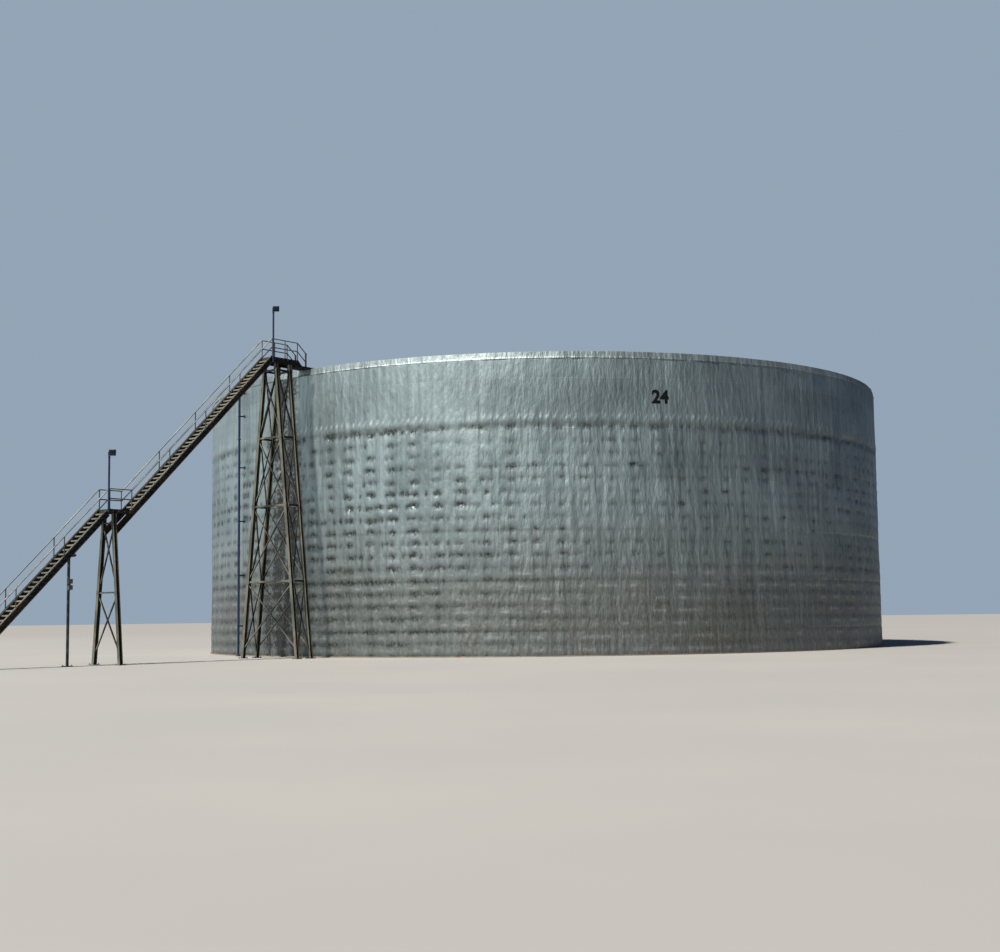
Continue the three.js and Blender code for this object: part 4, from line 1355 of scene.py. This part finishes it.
@dataclass
class Handrails:
    """Both handrails of the stair: welded tube rails on posts, with rusty weld beads."""

    end_inset: float = 0.03
    lower_bays: int = 3
    upper_bays: int = 4
    exit_drop: float = 0.47
    exit_end: float = 20.25
    exit_post: float = 0.09
    exit_foot: float = 14.8
    shoe: tuple[float, float] = (0.055, 0.045)
    shoe_plate: float = 0.014
    bead_gap: float = 0.022
    bead_length: float = 0.03
    beads: list[Thing] = field(default_factory=list)

    @property
    def stringer_top(self) -> float:
        """How far a stringer's top lies above its nosing line."""
        return PLAN.above / math.cos(PLAN.slope)

    def bead(self, place: Vector, aim: Vector) -> None:
        """A short weld bead round a rail beside a joint."""
        start = place + aim * self.bead_gap
        end = start + aim * self.bead_length
        self.beads.append(rod(start, end, PLAN.rail_radius * 1.3, 8, 0.3))

    def rails(self, points: Sequence[Vector]) -> list[Thing]:
        """The top and middle rail over points of the floor line, with weld beads."""
        made = []
        for height in (PLAN.rail_height, PLAN.mid_rail):
            raised = [point + UP * height for point in points]
            for start, end in zip(raised[:-1], raised[1:], strict=True):
                aim = (end - start).normalized()
                made.append(rod(start, end, PLAN.rail_radius, 10))
                self.bead(start, aim)
                self.bead(end, -aim)
        return made

    def flight(
        self, name: str, line: Line, ends: tuple[float, float], bays: int, side: int, first: int = 0
    ) -> None:
        """One flight's handrail on one side.

        Args:
            name: The name of the solid that it replaces.
            line: The nosing line.
            ends: The distances where it starts and ends.
            bays: How many bays its posts divide it into.
            side: 1 for the left, -1 for the right.
            first: 0 if it has its own post where it starts, 1 if it starts beside a deck's.
        """
        across = side * PLAN.rail_offset
        beside = PLAN.rail_radius + HAIR
        tips = (ends[0] - first * beside, ends[1] + beside)
        parts = self.rails([at(d, across, line(d)) for d in tips])
        rise = PLAN.rail_height - self.stringer_top
        for number in range(first, bays):
            distance = ends[0] + number * (ends[1] - ends[0]) / bays
            low = at(distance, across, line(distance) + self.stringer_top)
            parts.append(upright(low, rise, PLAN.rail_radius, 10))
            self.bead(low, UP)
            self.bead(low + UP * rise, -UP)
        keep(parts, f"{name}_tube", RAIL_ENAMEL, name)

    def level(
        self,
        name: str,
        floor: Sequence[tuple[float, float]],
        posts: Sequence[float],
        side: int,
        extra: Sequence[Thing] = (),
    ) -> None:
        """A deck's handrail on one side, its posts standing on welded foot plates.

        Args:
            name: The name of the solid that it replaces.
            floor: Distance and height of the points that it runs over.
            posts: The distances of its posts.
            side: 1 for the left, -1 for the right.
            extra: Other parts of the same piece.
        """
        across = side * PLAN.rail_offset
        parts = self.rails([at(d, across, z) for d, z in floor])
        half = Vector((*self.shoe, 0))
        for distance in posts:
            low = at(distance, across, floor[0][1] + HAIR)
            self.bead(low, UP)
            parts.append(upright(low, PLAN.rail_height - HAIR, PLAN.rail_radius, 10))
            parts.append(plate(low - half, low + half + UP * self.shoe_plate, 0.003))
        keep([*parts, *extra], f"{name}_tube", RAIL_ENAMEL, name)

    def exit_plate(self, side: int) -> Thing:
        """The wide post that ends the handrail over the rim."""
        half, thin = self.exit_post / 2, PLAN.rail_radius
        top = PLAN.platform[2] - self.exit_drop + PLAN.rail_height + thin
        low = at(self.exit_end + half, side * PLAN.rail_offset - thin, self.exit_foot + HAIR)
        return plate(low, at(self.exit_end - half, side * PLAN.rail_offset + thin, top))

    def build(self) -> None:
        """Models every handrail and the weld beads."""
        foot, floor, deck = PLAN.foot - PLAN.going, PLAN.landing[2], PLAN.platform[2]
        low, high = (
            (start - self.end_inset, end + self.end_inset)
            for start, end, _ in (PLAN.landing, PLAN.platform)
        )
        over_rim = [(high[0], deck), (high[1], deck), (self.exit_end, deck - self.exit_drop)]
        posts = [high[0], sum(high) / 2, high[1]]
        for word, side in (("left", 1), ("right", -1)):
            name = f"lower_handrail_{word}"
            self.flight(name, PLAN.lower_line, (foot, low[0]), self.lower_bays, side)
            self.level(f"landing_handrail_{word}", [(d, floor) for d in low], low, side)
            name = f"upper_handrail_{word}"
            self.flight(name, PLAN.upper_line, (low[1], high[0]), self.upper_bays, side, first=1)
            name, end = f"platform_handrail_{word}", [self.exit_plate(side)]
            self.level(name, over_rim, posts, side, end)
        keep(self.beads, "rail_welds", WELD_RUST)


@dataclass
class Supports:
    """Dressing of the tower, the trestle and the post: gussets, anchors and bolts."""

    tower_distances: tuple[float, float] = (22.3, 21.4)
    tower_foot: float = 1.98
    tower_head: float = 0.44
    tower_height: float = 14.4
    tie_heights: tuple[float, ...] = (3.8, 7.57, 11.0, 14.4)
    trestle_distance: float = 31.87
    trestle_foot: float = 0.965
    trestle_neck: float = 0.373
    neck_height: float = 6.3
    trestle_tie: float = 3.2
    post_distance: float = 33.93
    plate_half: float = 0.18
    plate_top: float = 0.03
    bolt_inset: float = 0.045
    anchor: float = 0.022
    stud: tuple[float, float] = (0.06, 0.012)
    column: float = 0.17
    gusset_size: tuple[float, float, float] = (0.01, 0.11, 0.1)
    corner_cut: float = 0.045
    gusset_bolt: float = 0.012
    small: float = 0.8

    def tower_spread(self, height: float) -> float:
        """Half the tower's width at a height."""
        narrowing = (self.tower_head - self.tower_foot) / self.tower_height
        return self.tower_foot + narrowing * height

    def trestle_spread(self, height: float) -> float:
        """Half the trestle's width at a height."""
        narrowing = (self.trestle_neck - self.trestle_foot) / self.neck_height
        return self.trestle_foot + narrowing * height

    def gusset(self) -> Thing:
        """A gusset plate with cut corners and four bolts, facing -X at the origin."""
        thick, wide, tall = self.gusset_size
        thing = plate((-thick, -wide, -tall), (0.0, wide, tall), 0.002)

        def at_corner(a: Vector, b: Vector) -> bool:
            """Whether an edge runs through the plate at one of its corners."""
            return abs(a.x - b.x) > thick / 2 and abs(a.z) > 0.9 * tall and abs(a.y) > 0.9 * wide

        with editing(thing):
            pick(thing, at_corner, edges=True)
            bpy.ops.mesh.bevel(offset=self.corner_cut, segments=1, affect="EDGES")
        spots = ((-0.06, 0.0), (0.06, 0.0), (0.0, 0.055), (0.0, -0.055))
        places = [move(-thick, y, z) @ turn(-90, "Y") for y, z in spots]
        return joined([thing, *spread_copies(hex_bolt(self.gusset_bolt), places)])

    def build_gussets(self) -> None:
        """Copies the gusset to the joints of the tower and the trestle."""
        face = self.column / 2 + 0.001
        places = []
        for distance in self.tower_distances:
            for height in self.tie_heights:
                for side in SIDES:
                    spot = move(*at(distance, side * self.tower_spread(height), height))
                    places += [spot @ move(-face, 0, 0), spot @ move(face, 0, 0) @ turn(180)]
        keep(spread_copies(self.gusset(), places), "tower_gussets", STAIR_ENAMEL)
        places = [
            move(*at(self.trestle_distance + face, side * self.trestle_spread(height), height))
            @ Matrix.Scale(self.small, 4)
            for height in (self.trestle_tie, self.neck_height - 0.05)
            for side in SIDES
        ]
        keep(spread_copies(self.gusset(), places), "trestle_gussets", STAIR_ENAMEL)

    def build_anchors(self) -> None:
        """Puts anchor bolts on every base plate: a nut with the end of its stud."""
        feet = [(d, side * self.tower_foot) for d in self.tower_distances for side in SIDES]
        feet += [(self.trestle_distance, side * self.trestle_foot) for side in SIDES]
        feet.append((self.post_distance, 0))
        inset = self.plate_half - self.bolt_inset
        places = [
            move(-distance + x, across + y, self.plate_top)
            for distance, across in feet
            for x in (-inset, inset)
            for y in (-inset, inset)
        ]
        anchor = joined([hex_bolt(self.anchor), upright(at(0, 0, 0), *self.stud, 8)])
        keep(spread_copies(anchor, places), "anchor_bolts", ZINC)

    def build(self) -> None:
        """Dresses the supports."""
        bents = ("tower_outer_bent", "tower_inner_bent")
        bracings = ("tower_bracing_left", "tower_bracing_right")
        dress(STAIR_ENAMEL, "landing_trestle", *bents, *bracings)
        dress(POST_ENAMEL, "lower_post")
        self.build_gussets()
        self.build_anchors()


# Fittings


@dataclass
class LightPole:
    """A clamped light pole with its floodlight on a yoke."""

    name: str
    distance: float
    deck: float
    beam: float
    height: float
    radius: float = 0.045
    across: float = -0.485
    beam_face: float = -0.435
    turned: float = 38.0
    fins: tuple[float, ...] = (0.085, 0.12, 0.155, 0.19, 0.225)

    def build(self) -> None:
        """Models the pole, the clamp, the lamp and its glass."""
        foot = at(self.distance, self.across, self.deck - self.beam)
        top = at(self.distance, self.across, self.deck + self.height)
        middle = at(self.distance, self.across, self.deck - self.beam / 2)
        wide = self.radius
        arm_end = Vector((middle.x + 0.22, self.beam_face - HAIR, middle.z + 0.04))
        tube = [
            rod(foot, top, wide, 14, 0.1),
            rod(top - UP * 0.09, top - UP * 0.02, wide * 1.25, 14, 0.2),
            upright(foot, 0.05, wide * 1.2, 14, 0.2),
            plate(middle - UP * 0.04, arm_end),
            upright(middle - UP * 0.05, 0.025, wide * 1.3, 14, 0.1),
            upright(middle + UP * 0.025, 0.025, wide * 1.3, 14, 0.1),
        ]
        solid = f"{self.name}_light_pole"
        keep(tube, f"{self.name}_pole_tube", NAVY_ENAMEL, solid)
        place = move(*top) @ turn(self.turned)
        body = self.lamp()
        body.data.transform(place)
        solid = f"{self.name}_floodlight"
        keep([body], f"{self.name}_lamp_body", LAMP_COAT, solid)
        glass = plate((0.07, -0.26, 0.065), (0.084, 0.03, 0.255), 0.003)
        glass.data.transform(place)
        keep([glass], f"{self.name}_lamp_glass", LAMP_GLASS)

    def lamp(self) -> Thing:
        """The floodlight's die-cast body, facing +X over the pole's top."""
        box = block((0.03, -0.115, 0.16), (0.1, 0.33, 0.26))
        with editing(box):
            pick(box, facing(-1, 0, 0))
            bpy.ops.transform.resize(value=(1, 0.8, 0.75))
            pick(box, facing(1, 0, 0))
            bpy.ops.mesh.inset(thickness=0.02)
            push(-0.014, 0, 0)
        fins = [plate((-0.085, -0.23, z), (-0.015, 0.0, z + 0.012), 0.002) for z in self.fins]
        visor = plate((0.07, -0.275, 0.272), (0.09, 0.045, 0.286), 0.003)
        yoke = plate((-0.035, -0.28, HAIR), (0.035, 0.05, 0.014), 0.003)
        arms = [plate((-0.03, y, HAIR), (0.03, y + 0.012, 0.18), 0.003) for y in (-0.28, 0.038)]
        return joined([box, *fins, visor, yoke, *arms])


@dataclass
class RiserPipe:
    """The painted pipe that climbs beside the wall: couplings, brackets and clips."""

    angle: float = 164.0
    radius: float = 0.065
    centre: float = 20.3
    face: float = 19.995
    top: float = 14.1
    bend: float = 0.16
    coupling: tuple[float, float] = (0.05, 0.1)
    couplings: tuple[float, ...] = (0.02, 5.9, 11.6)
    flange: tuple[float, float] = (0.04, 0.13)
    brackets: tuple[float, ...] = (1.6, 4.3, 7.2, 10.1, 12.9)
    bolts: int = 6
    bolt_ring: float = 0.1
    bolt: float = 0.014

    def build(self) -> None:
        """Models the pipe and what holds it."""
        foot = Vector((self.centre, 0, 0))
        parts = [self.pipe()]
        parts += [upright(foot + UP * z, *self.coupling, 16, 0.12) for z in self.couplings]
        parts.append(upright(foot, *self.flange, 20, 0.1))
        for height in self.brackets:
            parts += self.bracket(height)
        spin = turn(self.angle)
        for part in parts:
            part.data.transform(spin)
        keep(parts, "riser_pipe_tube", NAVY_ENAMEL, "riser_pipe")
        flange, out = spin @ move(self.centre, 0, self.flange[0]), move(self.bolt_ring, 0, 0)
        holes = [flange @ turn(360 / self.bolts * i) @ out for i in range(self.bolts)]
        keep(spread_copies(hex_bolt(self.bolt), holes), "riser_flange_bolts", ZINC)

    def pipe(self) -> Thing:
        """The pipe itself, with the bend that takes it into the wall."""
        thing = add(
            bpy.ops.mesh.primitive_circle_add,
            vertices=18,
            radius=self.radius,
            location=(self.centre, 0, 0),
            fill_type="NGON",
        )
        turning = self.centre - self.bend
        height = self.top - self.bend + self.radius
        with editing(thing, everything=True):
            push(0, 0, height)
            around = {"center": (turning, 0, height), "axis": (0, 1, 0)}
            bpy.ops.mesh.spin(steps=8, angle=math.pi / 2, **around)
            push(self.face - turning, 0, 0)
            bpy.ops.mesh.select_all(action="SELECT")
            bpy.ops.mesh.remove_doubles(threshold=0.0001)
            bpy.ops.mesh.normals_make_consistent(inside=False)
        return thing

    def bracket(self, height: float) -> list[Thing]:
        """An angle bracket on the wall with a clip round the pipe."""
        near, far, low = self.face, self.centre - 0.05, height - 0.035
        arm = plate((near, -0.035, low), (far, 0.035, height - 0.02), 0.002)
        web = plate((near, -0.035, low), (far, -0.022, height + 0.035), 0.002)
        pad = plate((near, -0.09, height - 0.09), (near + 0.012, 0.09, height + 0.09))
        foot = Vector((self.centre, 0, height - 0.03))
        return [arm, web, pad, upright(foot, 0.06, self.radius * 1.2, 18, 0.08)]


@dataclass
class SwitchBoxes:
    """Two weatherproof boxes on a back plate, strapped to the lower post."""

    distance: float = 33.93
    heights: tuple[float, float] = (3.41, 3.68)
    post_face: float = 0.0634
    size: tuple[float, float, float] = (0.2, 0.11, 0.2)
    screws: tuple[float, float] = (-0.075, 0.075)
    screw: float = 0.008

    def build(self) -> None:
        """Models the plate, the boxes, their glands and the straps."""
        lower, upper = self.heights
        low = at(self.distance + 0.065, -self.post_face - 0.02, lower - 0.1)
        parts = [plate(low, at(self.distance - 0.065, -self.post_face, upper + 0.1))]
        for height in self.heights:
            parts += self.box(height)
        for height in (lower - 0.07, upper + 0.07):
            parts.append(upright(at(self.distance, 0, height), 0.02, 0.071, 14, 0.05))
        keep(parts, "switch_box_set", BOX_COAT, "switch_boxes")

    def box(self, height: float) -> list[Thing]:
        """One box with a raised lid, four lid screws and a cable gland."""
        body = block(at(self.distance, -self.post_face - 0.065, height), self.size)
        with editing(body, everything=True):
            bpy.ops.mesh.bevel(offset=0.006, segments=2, affect="EDGES")
            pick(body, facing(0, -1, 0))
            bpy.ops.mesh.inset(thickness=0.006)
            push(0, 0.004, 0)
            bpy.ops.mesh.inset(thickness=0.004)
            push(0, -0.004, 0)
        lid = at(self.distance, -self.post_face - 0.116, height)
        screws = [
            move(lid.x + x, lid.y, lid.z + z) @ turn(90, "X")
            for x in self.screws
            for z in self.screws
        ]
        gland = upright(at(self.distance, -self.post_face - 0.06, height - 0.135), 0.035, 0.016, 8)
        return [body, gland, *spread_copies(hex_bolt(self.screw), screws)]


# Studio


@dataclass
class Studio:
    """A pale floor, soft light and the camera at the photograph's angle."""

    stand: tuple[float, float, float] = (-71.58, -55.04, 1.9)
    heading: float = 39.21
    pitch_up: float = 5.5
    roll: float = -0.7
    lens: float = 52.78
    sun: tuple[float, float] = (178.0, 57.0)
    sun_power: float = 8.5
    sun_colour: tuple[float, float, float] = (1.0, 0.955, 0.89)
    box_distance: float = 60.0
    box_size: tuple[float, float] = (44.0, 42.0)
    box_colour: tuple[float, float, float] = (0.9, 0.98, 1.0)
    # Each soft box's direction in degrees and how bright it is: they dim towards the right.
    boxes: tuple[tuple[float, float], ...] = ((108, 1.1), (148, 1.3), (188, 1.05), (228, 0.42))
    sky: str = "#7099d2"
    sky_strength: float = 0.27
    backdrop: str = "#a3b6c9"
    backdrop_strength: float = 0.8

    def build(self) -> None:
        """Makes the floor, the lights and the camera."""
        floor = add(bpy.ops.mesh.primitive_plane_add, size=900, location=(0, 0, -0.002))
        floor.name = "studio_floor"
        floor.data.materials.append(STUDIO_FLOOR.material())
        self.light_sun()
        for angle, radiance in self.boxes:
            self.light_box(angle, radiance)
        self.light_sky()
        self.place_camera()

    def link(self, name: str, data: bpy.types.ID) -> Thing:
        """Puts a lamp or a camera into the scene."""
        thing = bpy.data.objects.new(name, data)
        bpy.context.collection.objects.link(thing)
        return thing

    def light_sun(self) -> None:
        """A soft sun, high on the left."""
        lamp = bpy.data.lights.new("key_light", "SUN")
        lamp.energy = self.sun_power
        lamp.angle = math.radians(3)
        lamp.color = self.sun_colour
        key = self.link("key_light", lamp)
        key.rotation_euler = towards(*self.sun).to_track_quat("Z", "Y").to_euler()

    def light_box(self, angle: float, radiance: float) -> None:
        """A tall soft box that faces the tank.

        Args:
            angle: Its direction from the tank's axis in degrees.
            radiance: How bright its face is.
        """
        wide, tall = self.box_size
        lamp = bpy.data.lights.new("soft_box", "AREA")
        lamp.shape = "RECTANGLE"
        lamp.size, lamp.size_y = self.box_size
        lamp.energy = radiance * math.pi * wide * tall
        lamp.color = self.box_colour
        box = self.link("soft_box", lamp)
        outward = towards(angle)
        box.location = outward * self.box_distance + UP * (tall / 2 + 1)
        box.rotation_euler = outward.to_track_quat("Z", "Y").to_euler()
        box.visible_camera = False

    def light_sky(self) -> None:
        """A plain world that gives a dim blue light, and a paler backdrop to the camera."""
        world = bpy.data.worlds.new("studio_world")
        world.use_nodes = True
        tree = world.node_tree
        shade = tree.nodes["Background"]
        shade.inputs["Color"].default_value = linear(self.sky)
        shade.inputs["Strength"].default_value = self.sky_strength
        plain = {"Color": linear(self.backdrop), "Strength": self.backdrop_strength}
        backdrop = add_node(tree, "Background", plain)
        seen = add_node(tree, "LightPath").outputs["Is Camera Ray"]
        both = add_node(tree, "MixShader", None, {0: seen, 1: shade, 2: backdrop})
        feed(tree.nodes["World Output"], {"Surface": both})
        bpy.context.scene.world = world

    def place_camera(self) -> None:
        """The camera, level with the eye of someone standing before the tank."""
        ahead, level = towards(self.heading, self.pitch_up), towards(self.heading - 90)
        up = level.cross(ahead)
        roll = math.radians(self.roll)
        right = math.cos(roll) * level + math.sin(roll) * up
        over = -math.sin(roll) * level + math.cos(roll) * up
        data = bpy.data.cameras.new("camera")
        data.lens = self.lens
        data.sensor_width = 36
        data.clip_start, data.clip_end = 0.1, 2000
        viewer = self.link("camera", data)
        turned = Matrix((right, over, -ahead)).transposed().to_4x4()
        viewer.matrix_world = move(*(Vector(self.stand) * SCALE)) @ turned
        bpy.context.scene.camera = viewer
        bpy.context.scene.view_settings.view_transform = "Standard"


def main() -> None:
    """Builds the studio and every sub-assembly in order."""
    logging.basicConfig(level=logging.INFO, format="%(message)s")
    Studio().build()
    TankWall().build()
    RimFlashing().build()
    TankRoof().build()
    TankNumber().build()
    dress(FLOOR_STEEL, "tank_floor")
    low, high = PLAN.landing, PLAN.platform
    Flight("lower", PLAN.lower_line, PLAN.foot, low[0] + HAIR, PLAN.lower_risers).build()
    Flight("upper", PLAN.upper_line, low[1] - HAIR, high[0] + HAIR, PLAN.upper_risers).build()
    Decks().build()
    Handrails().build()
    Supports().build()
    LightPole("mid", low[0] + 0.1, low[2], 0.17, 2.36).build()
    LightPole("top", high[0], high[2], 0.3, 2.27).build()
    RiserPipe().build()
    SwitchBoxes().build()


if __name__ == "__main__":
    main()
